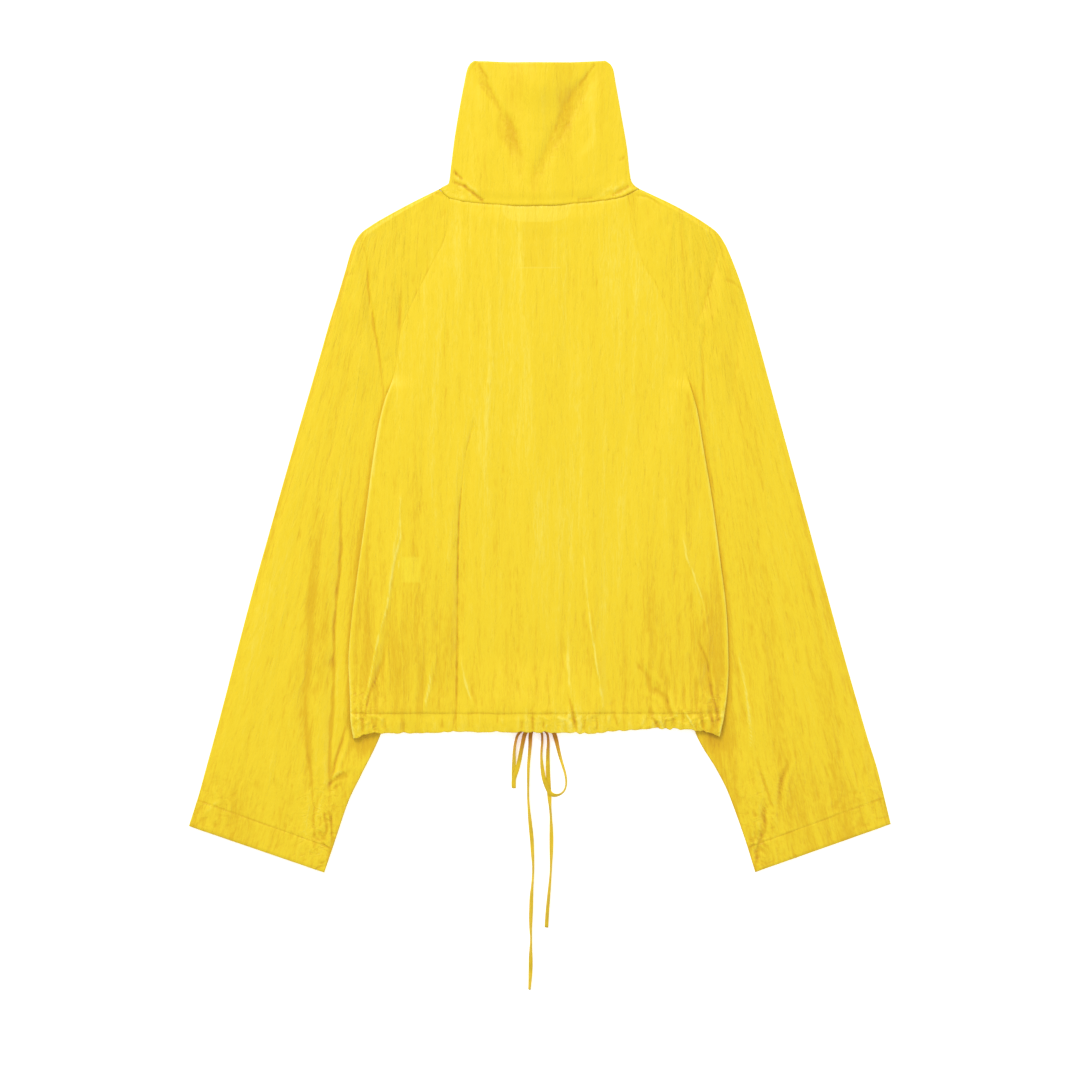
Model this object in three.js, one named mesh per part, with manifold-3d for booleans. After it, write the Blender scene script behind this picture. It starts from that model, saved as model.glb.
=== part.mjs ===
// A light nylon windbreaker lying flat with its back up: raglan sleeves folded in under the body,
// a tall funnel collar, a drawstring hem and a bow of flat tie below the hem.
// Millimetres. X runs across the back, Y from the hem up to the collar, Z up from the surface.
import * as THREE from 'three';
import { mergeVertices } from 'three/addons/utils/BufferGeometryUtils.js';
import Module from 'manifold-3d';

// Driving dimensions
const cloth = 1.0;
const collarCloth = 1.4;
const hemCloth = 2.2;
const seamGap = 0.3;
const edgeGap = 0.45;
const neckY = 305;
const armpitY = 104.2;
const channelY = -283.5;
const zipHalfGap = 4;
const frontNeckDrop = 22;
const bodyStep = 2 * (cloth + seamGap);
const knotLift = 5.2;
const knotX = -4;
const knotY = -288;
const sliderLift = 3.6;
const sliderY = 450;
const tieWidth = 5;
const tieThick = 1.2;
const yellow = 0xf7d92f;
const tieYellow = 0xe9c21c;

// Outlines, each row a point where the curve needs one
const neckSeam = [
  { x: -116.1, y: 318.9 }, { x: -109.8, y: 313.4 }, { x: -103.5, y: 308.8 }, { x: -90.8, y: 305.7 },
  { x: -58.6, y: 302.0 }, { x: -18.4, y: 300.1 }, { x: 13.8, y: 300.5 }, { x: 37.9, y: 302.6 },
  { x: 77.0, y: 306.6 }, { x: 93.1, y: 309.9 }, { x: 101.2, y: 313.4 }, { x: 113.8, y: 319.8 },
];
const hemEdge = [
  { x: -213.9, y: -312.1 }, { x: -186.3, y: -306.4 }, { x: -120.7, y: -306.2 },
  { x: -90.8, y: -305.0 }, { x: 23.0, y: -305.4 }, { x: 60.9, y: -306.7 }, { x: 89.7, y: -304.1 },
  { x: 146.0, y: -301.1 }, { x: 177.7, y: -302.2 }, { x: 205.8, y: -309.3 },
];
const bodyEdge = {
  left: [
    { y: 319, x: -103.2 }, { y: 308, x: -103.5 }, { y: 276.7, x: -105.8 }, { y: 256, x: -110.4 },
    { y: 243.3, x: -118.4 }, { y: 216.9, x: -132.2 }, { y: 193.9, x: -143.8 },
    { y: 170.9, x: -154.1 }, { y: 155.9, x: -159.8 }, { y: 123.7, x: -164.4 },
    { y: 104.2, x: -167.9 }, { y: 75.4, x: -178.2 }, { y: 47.8, x: -185.1 }, { y: 13.3, x: -190.9 },
    { y: -64.9, x: -201.2 }, { y: -135, x: -210.9 }, { y: -182.2, x: -216.7 },
    { y: -224.7, x: -219.6 }, { y: -267.3, x: -217.9 }, { y: -289.1, x: -217.3 },
    { y: -313, x: -213.9 },
  ],
  right: [
    { y: 322, x: 99.5 }, { y: 312.3, x: 100.6 }, { y: 270.9, x: 106.9 }, { y: 238.7, x: 116.1 },
    { y: 208.8, x: 133.4 }, { y: 173.2, x: 148.3 }, { y: 141, x: 159.8 }, { y: 104.2, x: 169 },
    { y: 62.8, x: 180.5 }, { y: 23.7, x: 187 }, { y: -45.3, x: 198.5 }, { y: -109.7, x: 207 },
    { y: -167.2, x: 213.9 }, { y: -199.4, x: 215.6 }, { y: -229.3, x: 216.2 },
    { y: -255.8, x: 215 }, { y: -285.7, x: 211.1 }, { y: -310.5, x: 205.8 },
  ],
};
const collarEdge = {
  left: [
    { y: 318.6, x: -116.4 }, { y: 322.1, x: -111.0 }, { y: 325.4, x: -105.1 },
    { y: 345.7, x: -102.3 }, { y: 381.3, x: -97.7 }, { y: 445.7, x: -86.2 },
    { y: 456.1, x: -83.9 }, { y: 462.5, x: -80.8 }, { y: 466.1, x: -76.5 },
  ],
  right: [
    { y: 319.4, x: 114.1 }, { y: 323.8, x: 108.1 }, { y: 329.6, x: 104.6 },
    { y: 366.4, x: 100 }, { y: 406.6, x: 93.1 }, { y: 445.7, x: 86.2 }, { y: 456, x: 84.4 },
    { y: 462.5, x: 81 }, { y: 466.1, x: 76.0 },
  ],
};
const collarTop = [{ x: -80, y: 466.1 }, { x: 0, y: 463.2 }, { x: 80, y: 466.1 }];

// Sleeve sections from the neck to the cuff: the inner edge and the outer fold of each
const sleeveSections = {
  left: [
    { at: 0, inX: -103.5, inY: 308.1, outX: -116.8, outY: 318.6 },
    { at: 1, inX: -104.9, inY: 290, outX: -140, outY: 307.2 },
    { at: 2, inX: -110.4, inY: 256, outX: -164.4, outY: 294.4 },
    { at: 3, inX: -132.2, inY: 216.9, outX: -192, outY: 278.5 },
    { at: 4, inX: -148, inY: 185, outX: -206.3, outY: 267.9 },
    { at: 5, inX: -159.8, inY: 155.9, outX: -215, outY: 253.9 },
    { at: 6, inX: -164.4, inY: 123.7, outX: -224.2, outY: 223.8 },
    { at: 7, inX: -167.9, inY: 104.2, outX: -234, outY: 191 },
    { at: 8, inX: -174.6, inY: 85, outX: -241.5, outY: 167.4 },
    { at: 9, inX: -163.3, inY: 53.6, outX: -251, outY: 134 },
    { at: 10, inX: -149.5, inY: 19.1, outX: -261, outY: 99.6 },
    { at: 11, inX: -136.8, inY: -26.9, outX: -279, outY: 37.5 },
    { at: 12, inX: -132.2, inY: -84.4, outX: -296, outY: -21.5 },
    { at: 13, inX: -136.8, inY: -141.9, outX: -313, outY: -82 },
    { at: 14, inX: -149.5, inY: -199.4, outX: -330, outY: -142.5 },
    { at: 15, inX: -165.6, inY: -256.9, outX: -346, outY: -203 },
    { at: 16, inX: -185.1, inY: -312.8, outX: -362.8, outY: -268.4 },
    { at: 17, inX: -201.7, inY: -354.6, outX: -376.5, outY: -319.5 },
    { at: 18, inX: -218.5, inY: -383.4, outX: -386.5, outY: -356 },
    { at: 19, inX: -235, inY: -428.3, outX: -394.9, outY: -386.2 },
    { at: 20, inX: -247.8, inY: -466.2, outX: -403.6, outY: -412.8 },
  ],
  right: [
    { at: 0, inX: 100.6, inY: 312.3, outX: 114.5, outY: 319.3 },
    { at: 1, inX: 103, inY: 296, outX: 132, outY: 311.2 },
    { at: 2, inX: 109, inY: 262, outX: 156, outY: 299.6 },
    { at: 3, inX: 133.4, inY: 208.8, outX: 186, outY: 282.3 },
    { at: 4, inX: 145, inY: 181, outX: 204.2, outY: 268.6 },
    { at: 5, inX: 154, inY: 157, outX: 212.7, outY: 256 },
    { at: 6, inX: 163, inY: 129, outX: 225.4, outY: 226.1 },
    { at: 7, inX: 169, inY: 104.2, outX: 234, outY: 201.5 },
    { at: 8, inX: 175.2, inY: 84, outX: 242, outY: 175 },
    { at: 9, inX: 164.4, inY: 53.6, outX: 252, outY: 140 },
    { at: 10, inX: 150.6, inY: 19.1, outX: 262.6, outY: 101 },
    { at: 11, inX: 138, inY: -26.9, outX: 280.2, outY: 36.5 },
    { at: 12, inX: 132.2, inY: -84.4, outX: 296.6, outY: -23.5 },
    { at: 13, inX: 136.8, inY: -141.9, outX: 313, outY: -83.7 },
    { at: 14, inX: 150.6, inY: -199.4, outX: 330, outY: -146 },
    { at: 15, inX: 165.6, inY: -256.9, outX: 347.5, outY: -210.3 },
    { at: 16, inX: 179.5, inY: -308, outX: 364.5, outY: -270 },
    { at: 17, inX: 198, inY: -345.5, outX: 377, outY: -313 },
    { at: 18, inX: 213.5, inY: -368.5, outX: 387.1, outY: -345 },
    { at: 19, inX: 232.3, inY: -418, outX: 396.5, outY: -382 },
    { at: 20, inX: 247.2, inY: -465.6, outX: 403.2, outY: -410.4 },
  ],
};

// Largest folds: a ridge (or a trough where high is below 0) from one end through a bend
const bodyFolds = [
  { x0: -77, y0: 44, xm: -94, ym: -90, x1: -97, y1: -283, wide: 9, high: -1.1 },
  { x0: -92, y0: 30, xm: -108, ym: -90, x1: -112, y1: -270, wide: 11, high: 0.8 },
  { x0: -160, y0: -37, xm: -175, ym: -158, x1: -203, y1: -280, wide: 10, high: 1.3 },
  { x0: -178, y0: -205, xm: -184, ym: -240, x1: -192, y1: -280, wide: 8, high: -0.9 },
  { x0: -120, y0: -200, xm: -126, ym: -245, x1: -133, y1: -283, wide: 9, high: 1.0 },
  { x0: -60, y0: 250, xm: -62, ym: 60, x1: -56, y1: -240, wide: 16, high: 0.7 },
  { x0: -8, y0: 180, xm: -12, ym: -20, x1: -6, y1: -230, wide: 15, high: 0.8 },
  { x0: 31, y0: -190, xm: 34, ym: -240, x1: 42, y1: -283, wide: 10, high: 1.1 },
  { x0: 50, y0: 120, xm: 58, ym: -120, x1: 71, y1: -283, wide: 12, high: 0.9 },
  { x0: 98, y0: 60, xm: 112, ym: -110, x1: 124, y1: -270, wide: 13, high: 0.8 },
  { x0: 126, y0: -230, xm: 142, ym: -262, x1: 156, y1: -283, wide: 9, high: 1.1 },
  { x0: 164, y0: -83, xm: 180, ym: -140, x1: 194, y1: -230, wide: 10, high: 1.3 },
  { x0: 183, y0: -200, xm: 194, ym: -240, x1: 203, y1: -283, wide: 8, high: -0.9 },
];
const sleeveFolds = [
  { x0: -205, y0: 258, xm: -198, ym: 205, x1: -181, y1: 88, wide: 8, high: -1.3 },
  { x0: -220, y0: 225, xm: -214, ym: 160, x1: -204, y1: 60, wide: 12, high: 1.0 },
  { x0: -187, y0: 230, xm: -180, ym: 180, x1: -174, y1: 130, wide: 10, high: 0.9 },
  { x0: -229, y0: -60, xm: -237, ym: -190, x1: -240, y1: -365, wide: 9, high: -1.5 },
  { x0: -243, y0: -70, xm: -251, ym: -200, x1: -254, y1: -350, wide: 12, high: 1.1 },
  { x0: -264, y0: -158, xm: -270, ym: -290, x1: -259, y1: -420, wide: 9, high: -1.1 },
  { x0: -300, y0: -90, xm: -322, ym: -220, x1: -345, y1: -370, wide: 16, high: 1.0 },
  { x0: 203, y0: 250, xm: 196, ym: 205, x1: 182, y1: 162, wide: 9, high: -1.2 },
  { x0: 187, y0: 156, xm: 188, ym: 110, x1: 190, y1: 55, wide: 8, high: -1.2 },
  { x0: 214, y0: 235, xm: 210, ym: 170, x1: 206, y1: 70, wide: 12, high: 1.1 },
  { x0: 233, y0: -262, xm: 238, ym: -292, x1: 242, y1: -325, wide: 9, high: 1.2 },
  { x0: 256, y0: -358, xm: 261, ym: -390, x1: 252, y1: -440, wide: 9, high: -1.0 },
  { x0: 230, y0: -40, xm: 246, ym: -160, x1: 258, y1: -300, wide: 13, high: 0.9 },
  { x0: 292, y0: -60, xm: 316, ym: -190, x1: 338, y1: -340, wide: 16, high: 1.0 },
];
const collarFolds = [
  { x0: -78, y0: 460, xm: -42, ym: 402, x1: -26, y1: 340, wide: 11, high: -1.2 },
  { x0: 66, y0: 460, xm: 22, ym: 398, x1: -6, y1: 330, wide: 11, high: -1.2 },
  { x0: -6, y0: 458, xm: -2, ym: 420, x1: -4, y1: 385, wide: 26, high: 1.2 },
  { x0: -103, y0: 332, xm: -90, ym: 324, x1: -68, y1: 309, wide: 7, high: 1.0 },
];

// Gathers along the drawn-up hem: where each bunch sits, how far it runs, and its waves
const gathers = [
  { x: -200, reach: 26, pitch: 9, high: 0.9 },
  { x: -150, reach: 30, pitch: 15, high: 0.35 },
  { x: -70, reach: 60, pitch: 21, high: 0.25 },
  { x: 35, reach: 38, pitch: 10, high: 0.7 },
  { x: 92, reach: 26, pitch: 13, high: 0.45 },
  { x: 150, reach: 36, pitch: 10, high: 0.85 },
  { x: 200, reach: 22, pitch: 8, high: 0.9 },
];

// Grids: share of the half width from the side to the centre, and of the height from neck to hem
const halfColumns = [0, 0.03, 0.07, 0.12, 0.18, 0.25, 0.32, 0.39, 0.47, 0.55, 0.64, 0.73, 0.82, 0.91, 1];
const frontColumns = [0, 0.03, 0.07, 0.12, 0.18, 0.25, 0.32, 0.39, 0.55, 0.73, 0.91];
const sleeveStations = [7.5, 8, 8.6, 9.2, 10, 11, 12, 13, 14, 15, 16, 16.6, 17.3, 18, 18.7, 19.4, 20];
const seamRows = 8;
const belowRows = 14;
const rampLength = 17;

const clamp01 = (t) => Math.min(1, Math.max(0, t));
const mix = (a, b, t) => a + (b - a) * t;
const smooth = (from, to, value) => {
  const t = clamp01((value - from) / (to - from));
  return t * t * (3 - 2 * t);
};

// Smooth value of one column of a table at a given key, through every row
function tableAt(rows, key, column, at) {
  const falling = rows[0][key] > rows[rows.length - 1][key];
  const side = falling ? -1 : 1;
  const place = side * at;
  let i = 0;
  while (i < rows.length - 2 && place > side * rows[i + 1][key]) i += 1;
  const slope = (a, b) => (rows[b][column] - rows[a][column]) / (side * (rows[b][key] - rows[a][key]));
  const here = slope(i, i + 1);
  const before = i > 0 ? slope(i - 1, i) : here;
  const after = i < rows.length - 2 ? slope(i + 1, i + 2) : here;
  const tangent = (a, b) => (a * b <= 0 ? 0 : (2 * a * b) / (a + b));
  const span = side * (rows[i + 1][key] - rows[i][key]);
  const t = clamp01((place - side * rows[i][key]) / span);
  const m0 = (i > 0 ? tangent(before, here) : here) * span;
  const m1 = (i < rows.length - 2 ? tangent(here, after) : here) * span;
  const t2 = t * t;
  const t3 = t2 * t;
  return (2 * t3 - 3 * t2 + 1) * rows[i][column] + (t3 - 2 * t2 + t) * m0
    + (3 * t2 - 2 * t3) * rows[i + 1][column] + (t3 - t2) * m1;
}

// Sum of the folds at a place: each is a soft ridge along a bent line that fades at its ends
function foldHeight(folds, x, y) {
  let sum = 0;
  for (const fold of folds) {
    const t = clamp01((y - fold.y0) / (fold.y1 - fold.y0));
    const a = mix(fold.x0, fold.xm, t);
    const b = mix(fold.xm, fold.x1, t);
    const across = (x - mix(a, b, t)) / fold.wide;
    const past = Math.max(0, Math.abs(y - (fold.y0 + fold.y1) / 2) - Math.abs(fold.y1 - fold.y0) / 2);
    const fade = Math.exp(-((past / (1.6 * fold.wide)) ** 2));
    const swell = 0.35 + 0.65 * Math.sin(Math.PI * mix(0.12, 0.88, t));
    sum += fold.high * fade * swell * Math.exp(-across * across);
  }
  return sum;
}

const sideOf = (x) => (x < 0 ? 'left' : 'right');
const edgeX = (side, y) => tableAt(bodyEdge[side], 'y', 'x', y);
const neckAt = (x) => tableAt(neckSeam, 'x', 'y', x);
const hemAt = (x) => tableAt(hemEdge, 'x', 'y', x);
const frontNeckAt = (x) => neckAt(x) - frontNeckDrop * clamp01(1 - (x / 99) ** 2);
const foldWay = { left: -1, right: 1 };

// Where the hidden underarm edge of a sleeve runs below the body
function underarmX(side, y) {
  const rows = sleeveSections[side].filter((row) => row.at >= 8);
  return tableAt(rows, 'inY', 'inX', Math.min(y, rows[0].inY));
}

// How far the front panel is lifted: over the sleeves at both sides, and over the knot at the hem
function frontLift(x, y) {
  const side = sideOf(x);
  const inward = foldWay[side] * (underarmX(side, y) - x);
  const ramp = smooth(armpitY, armpitY - rampLength, y);
  const sleeve = bodyStep * ramp * (1 - smooth(9, 40, inward));
  const besideKnot = 1 - smooth(34, 100, Math.abs(x - knotX));
  const aboveKnot = 1 - smooth(knotY + 14, knotY + 75, y);
  return Math.max(sleeve, knotLift * besideKnot * aboveKnot);
}

// Gathers at a place along the hem, strongest in the channel and gone a hand above it
function gatherHeight(x, y) {
  const fade = 1 - smooth(channelY - 4, channelY + 46, y);
  if (fade === 0) return 0;
  let sum = 0;
  for (const bunch of gathers) {
    const near = Math.exp(-(((x - bunch.x) / bunch.reach) ** 2));
    sum += bunch.high * near * (1 + Math.cos((2 * Math.PI * (x - bunch.x)) / bunch.pitch)) * 0.5;
  }
  return fade * sum;
}

// Underside of the back panel above the surface
function backUnder(x, y) {
  const side = sideOf(x);
  const inside = foldWay[side] * (edgeX(side, y) - x);
  const full = smooth(0, 34, inside) * smooth(0, 18, neckAt(x) - y);
  const overTape = 1.35 * (1 - smooth(15, 34, Math.abs(x)));
  const overHem = (hemCloth - cloth) * (1 - smooth(channelY, channelY + 30, y));
  const overCollar = (collarCloth - cloth) * smooth(frontNeckAt(x) - 14, frontNeckAt(x) - 4, y);
  const fullness = Math.max(0, 1.3 + foldHeight(bodyFolds, x, y));
  return frontLift(x, y) + cloth + seamGap + overHem + overTape + overCollar
    + full * fullness + gatherHeight(x, y);
}

// Underside of a sleeve's upper wall: flat where the body lies on it, fuller outside
function sleeveUnder(x, y) {
  const side = sideOf(x);
  const outside = foldWay[side] * (x - edgeX(side, y));
  const pastHem = 1 - smooth(-345, -316, y);
  const clear = mix(4, 19, smooth(armpitY + 30, armpitY, y));
  const full = Math.max(smooth(clear, clear + 26, outside), pastHem);
  return cloth + seamGap + full * Math.max(0, 1.4 + foldHeight(sleeveFolds, x, y));
}

// A closed wall from two grids of points, outer and inner, joined round the four edges
function wallMesh(name, outer, inner, color) {
  const rows = outer.length;
  const columns = outer[0].length;
  const positions = [];
  for (const grid of [outer, inner]) {
    for (const row of grid) for (const point of row) positions.push(...point);
  }
  const at = (layer, r, c) => layer * rows * columns + r * columns + c;
  const faces = [];
  const quad = (a, b, c, d) => faces.push(a, b, c, a, c, d);
  for (let r = 0; r < rows - 1; r += 1) {
    for (let c = 0; c < columns - 1; c += 1) {
      quad(at(0, r, c), at(0, r + 1, c), at(0, r + 1, c + 1), at(0, r, c + 1));
      quad(at(1, r, c), at(1, r, c + 1), at(1, r + 1, c + 1), at(1, r + 1, c));
    }
    quad(at(0, r, 0), at(1, r, 0), at(1, r + 1, 0), at(0, r + 1, 0));
    const last = columns - 1;
    quad(at(0, r, last), at(0, r + 1, last), at(1, r + 1, last), at(1, r, last));
  }
  for (let c = 0; c < columns - 1; c += 1) {
    quad(at(0, 0, c), at(0, 0, c + 1), at(1, 0, c + 1), at(1, 0, c));
    const last = rows - 1;
    quad(at(0, last, c), at(1, last, c), at(1, last, c + 1), at(0, last, c + 1));
  }
  const geometry = new THREE.BufferGeometry();
  geometry.setAttribute('position', new THREE.Float32BufferAttribute(positions, 3));
  geometry.setIndex(faces);
  return solid(name, geometry, color, 0.62);
}

function solid(name, geometry, color, roughness, metalness = 0) {
  geometry.computeVertexNormals();
  const mesh = new THREE.Mesh(geometry, new THREE.MeshStandardMaterial({ color, roughness, metalness }));
  mesh.name = name;
  return mesh;
}

// Share of the way from the neck seam (0) to the channel (1) for each row of the body panels
function panelShares() {
  const armpit = (neckY - armpitY) / (neckY - channelY);
  const ramp = rampLength / (neckY - channelY);
  const shares = [];
  for (let i = 0; i < seamRows; i += 1) shares.push((armpit * i) / seamRows);
  for (let i = 0; i <= 3; i += 1) shares.push(armpit + (ramp * i) / 3);
  for (let i = 1; i <= belowRows; i += 1) shares.push(mix(armpit + ramp, 1, i / belowRows));
  return shares;
}

// Height of a panel row at a place across: the neck seam curve eases into level rows
function rowY(share, x, topAt) {
  const level = mix(neckY, channelY, share);
  const ease = (1 - clamp01(share / 0.34)) ** 1.5;
  return level + (topAt(x) - edgeGap - neckY) * ease;
}

// Outer and inner points of a body panel
function panelPoint(side, columnShare, share, topAt, centreX) {
  const nearY = rowY(share, edgeX(side, mix(neckY, channelY, share)), topAt);
  const sideX = edgeX(side, nearY);
  const x = mix(sideX, centreX, columnShare);
  return { x, y: rowY(share, x, topAt) };
}

function backPanel() {
  const outer = [];
  const inner = [];
  for (const share of panelShares()) {
    const top = [];
    const under = [];
    const add = (side, column) => {
      const { x, y } = panelPoint(side, column, share, neckAt, 0);
      const low = backUnder(x, y);
      top.push([x, y, low + cloth]);
      under.push([x, y, low]);
    };
    for (const column of halfColumns) add('left', column);
    for (const column of [...halfColumns].reverse().slice(1)) add('right', column);
    outer.push(top);
    inner.push(under);
  }
  return wallMesh('back_panel', outer, inner, yellow);
}

function frontPanel(side) {
  const outer = [];
  const inner = [];
  const way = foldWay[side];
  for (const share of panelShares()) {
    const row = [];
    for (const column of frontColumns) row.push(panelPoint(side, column, share, frontNeckAt, 0));
    const edge = panelPoint(side, 1, share, frontNeckAt, way * zipHalfGap);
    row.push(edge);
    if (side === 'right') row.reverse();
    outer.push(row.map(({ x, y }) => [x, y, frontLift(x, y) + cloth]));
    inner.push(row.map(({ x, y }) => [x, y, frontLift(x, y)]));
  }
  return wallMesh(`front_${side}`, outer, inner, yellow);
}

// The turned hem that carries the drawstring, in the back or in one front
function hemChannel(name, fromX, toX, step, underAt, thick) {
  const count = Math.round(Math.abs(toX - fromX) / step);
  const shares = [0, 0.2, 0.8, 1];
  const outer = [];
  const inner = [];
  for (const share of shares) {
    const top = [];
    const under = [];
    for (let i = 0; i <= count; i += 1) {
      const level = mix(fromX, toX, i / count);
      const y = mix(channelY - edgeGap, hemAt(level), share);
      const left = Math.max(fromX, edgeX('left', y));
      const right = Math.min(toX, edgeX('right', y));
      const x = mix(left, right, i / count);
      const swell = thick * (0.72 + 0.28 * Math.sin(Math.PI * share));
      const low = underAt(x, Math.max(y, -311));
      top.push([x, y, low + swell]);
      under.push([x, y, low]);
    }
    outer.push(top);
    inner.push(under);
  }
  return wallMesh(name, outer, inner, yellow);
}

function hemBackUnder(x, y) {
  const overTape = (cloth + seamGap) * (1 - smooth(15, 34, Math.abs(x)));
  return frontLift(x, y) + hemCloth + seamGap + overTape + gatherHeight(x, y) * 1.2;
}

// A sleeve: one sheet from the inner edge over the upper side, round the fold and back below
function sleeve(side) {
  const way = foldWay[side];
  const sections = sleeveSections[side];
  const places = [];
  const armpitAt = 7;
  const shares = panelShares();
  const upper = [0, 0.07, 0.15, 0.24, 0.33, 0.42, 0.51, 0.6, 0.69, 0.78, 0.87, 0.94, 1];
  const lower = [1, 0.72, 0.36, 0];
  const count = shares.filter((share) => share <= 0.345).length;
  for (let i = 0; i < count; i += 1) {
    const { x, y } = panelPoint(side, 0, shares[i], neckAt, 0);
    places.push({ at: (armpitAt * i) / (count - 1), inX: x + way * edgeGap, inY: y });
  }
  for (const at of sleeveStations) {
    const inY = tableAt(sections, 'at', 'inY', at);
    let inX = tableAt(sections, 'at', 'inX', at);
    if (at <= 8) inX = edgeX(side, inY) + way * edgeGap;
    places.push({ at, inX, inY });
  }
  const outer = [];
  const inner = [];
  for (const place of places) {
    const outX = tableAt(sections, 'at', 'outX', place.at);
    const outY = tableAt(sections, 'at', 'outY', place.at);
    const top = [];
    const under = [];
    const spot = (t) => ({ x: mix(place.inX, outX, t), y: mix(place.inY, outY, t) });
    const edgeHeight = cloth * 2 + seamGap;
    const reach = edgeHeight / 2;
    const span = Math.hypot(outX - place.inX, outY - place.inY);
    const rim = Math.min(0.4, reach / span);
    for (const t of upper) {
      const { x, y } = spot(t * (1 - rim));
      const settle = smooth(1, 0.8, t);
      const low = mix(cloth + seamGap, sleeveUnder(x, y), settle);
      top.push([x, y, low + cloth]);
      under.push([x, y, low]);
    }
    for (const turn of [Math.PI / 6, -Math.PI / 6]) {
      const fold = (radius) => {
        const t = 1 - rim + (rim * radius * Math.cos(turn)) / reach;
        const { x, y } = spot(t);
        return [x, y, reach + radius * Math.sin(turn)];
      };
      top.push(fold(reach));
      under.push(fold(seamGap / 2));
    }
    for (const t of lower) {
      const { x, y } = spot(t * (1 - rim));
      top.push([x, y, 0]);
      under.push([x, y, cloth]);
    }
    outer.push(side === 'left' ? top.reverse() : top);
    inner.push(side === 'left' ? under.reverse() : under);
  }
  return wallMesh(`sleeve_${side}`, outer, inner, yellow);
}

// Lift of the collar's front over the zip slider
const collarLift = (x, y) => sliderLift * (1 - smooth(9, 50, Math.hypot(x, y - sliderY)));

function collarUnder(x, y) {
  const full = smooth(0, 16, y - neckAt(x)) * (1 - smooth(64, 84, Math.abs(x)));
  const overTape = (collarCloth + seamGap) * (1 - smooth(15, 38, Math.abs(x)));
  const overSlider = 0.6 * (1 - smooth(9, 40, Math.hypot(x, y - sliderY)));
  return collarLift(x, y) + collarCloth + seamGap + overTape + overSlider
    + full * Math.max(0, 1.2 + foldHeight(collarFolds, x, y));
}

// The collar: one sheet from the centre front round both folds, with its back uppermost
function collar() {
  const frontShares = [0, 0.12, 0.28, 0.48, 0.68, 0.81, 0.89, 1];
  const backShares = [
    0, 0.06, 0.13, 0.2, 0.27, 0.34, 0.41, 0.48, 0.54, 0.6, 0.67, 0.74, 0.81, 0.88, 0.94, 1,
  ];
  const rowShares = [0, 0.05, 0.14, 0.26, 0.4, 0.54, 0.68, 0.8, 0.88, 0.94, 0.98, 1];
  const edgeHeight = 2 * collarCloth + seamGap;
  const reach = edgeHeight / 2;
  const outer = [];
  const inner = [];
  for (const share of rowShares) {
    const edgeY = (side) => mix(collarEdge[side][0].y, 466.1, share);
    const left = { x: tableAt(collarEdge.left, 'y', 'x', edgeY('left')) + reach, y: edgeY('left') };
    const right = { x: tableAt(collarEdge.right, 'y', 'x', edgeY('right')) - reach, y: edgeY('right') };
    const levelY = (x, baseAt) => {
      const base = baseAt(x);
      const topY = tableAt(collarTop, 'x', 'y', x);
      return mix(base, topY, share);
    };
    const nearFold = (x) => smooth(0, 14, Math.min(x - left.x, right.x - x));
    const wallY = (x, baseAt) => {
      const flatY = mix(left.y, right.y, (x - left.x) / (right.x - left.x));
      return mix(flatY, levelY(x, baseAt), nearFold(x));
    };
    const top = [];
    const under = [];
    const addFront = (x) => {
      const y = wallY(x, frontNeckAt);
      const low = collarLift(x, y);
      top.push([x, y, low]);
      under.push([x, y, low + collarCloth]);
    };
    const addBack = (x) => {
      const y = wallY(x, neckAt);
      const low = collarUnder(x, y);
      top.push([x, y, low + collarCloth]);
      under.push([x, y, low]);
    };
    const addFold = (centre, way, turn) => {
      const spot = (radius) => [
        centre.x + way * radius * Math.cos(turn), centre.y, reach + radius * Math.sin(turn),
      ];
      top.push(spot(reach));
      under.push(spot(seamGap / 2));
    };
    for (const t of frontShares) addFront(mix(-zipHalfGap, left.x, t));
    addFold(left, -1, -Math.PI / 6);
    addFold(left, -1, Math.PI / 6);
    for (const t of backShares) addBack(mix(left.x, right.x, t));
    addFold(right, 1, Math.PI / 6);
    addFold(right, 1, -Math.PI / 6);
    for (const t of [...frontShares].reverse()) addFront(mix(zipHalfGap, right.x, t));
    outer.push(top.reverse());
    inner.push(under.reverse());
  }
  return wallMesh('collar', outer, inner, yellow);
}

// The zip runs up the centre front, its tapes lying inside the fronts and the collar
function zipStretch() {
  const ys = [hemAt(0) + 3, hemAt(0) + 9];
  for (const share of [...panelShares()].reverse()) ys.push(rowY(share, 0, frontNeckAt));
  for (const t of [0.06, 0.14, 0.26, 0.4, 0.54, 0.68, 0.8, 0.88]) ys.push(mix(frontNeckAt(0), 463.2, t));
  ys.push(sliderY + 3.2);
  return ys;
}

function zipLevel(y) {
  const hemStep = (hemCloth - cloth) * (1 - smooth(channelY, channelY + 12, y));
  const collarStep = (collarCloth - cloth) * smooth(frontNeckAt(0) - 12, frontNeckAt(0) - 3, y);
  const lift = y > frontNeckAt(0) ? collarLift(0, y) : frontLift(0, y);
  return lift + cloth + hemStep + collarStep;
}

function zipTape(side) {
  const xs = side === 'left' ? [-14, -2.9] : [2.9, 14];
  const outer = [];
  const inner = [];
  for (const y of zipStretch().reverse()) {
    const low = zipLevel(y) + seamGap;
    outer.push(xs.map((x) => [x, y, low + cloth]));
    inner.push(xs.map((x) => [x, y, low]));
  }
  return wallMesh(`zip_tape_${side}`, outer, inner, yellow);
}

function zipChain() {
  const halfWide = 2.6;
  const thick = 1.8;
  const outer = [];
  const inner = [];
  for (const y of zipStretch().reverse()) {
    const low = zipLevel(y) - 0.85;
    outer.push([-halfWide, halfWide].map((x) => [x, y, low + thick]));
    inner.push([-halfWide, halfWide].map((x) => [x, y, low]));
  }
  return wallMesh('zip_chain', outer, inner, yellow);
}

const wasm = await Module();
wasm.setup();

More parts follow.
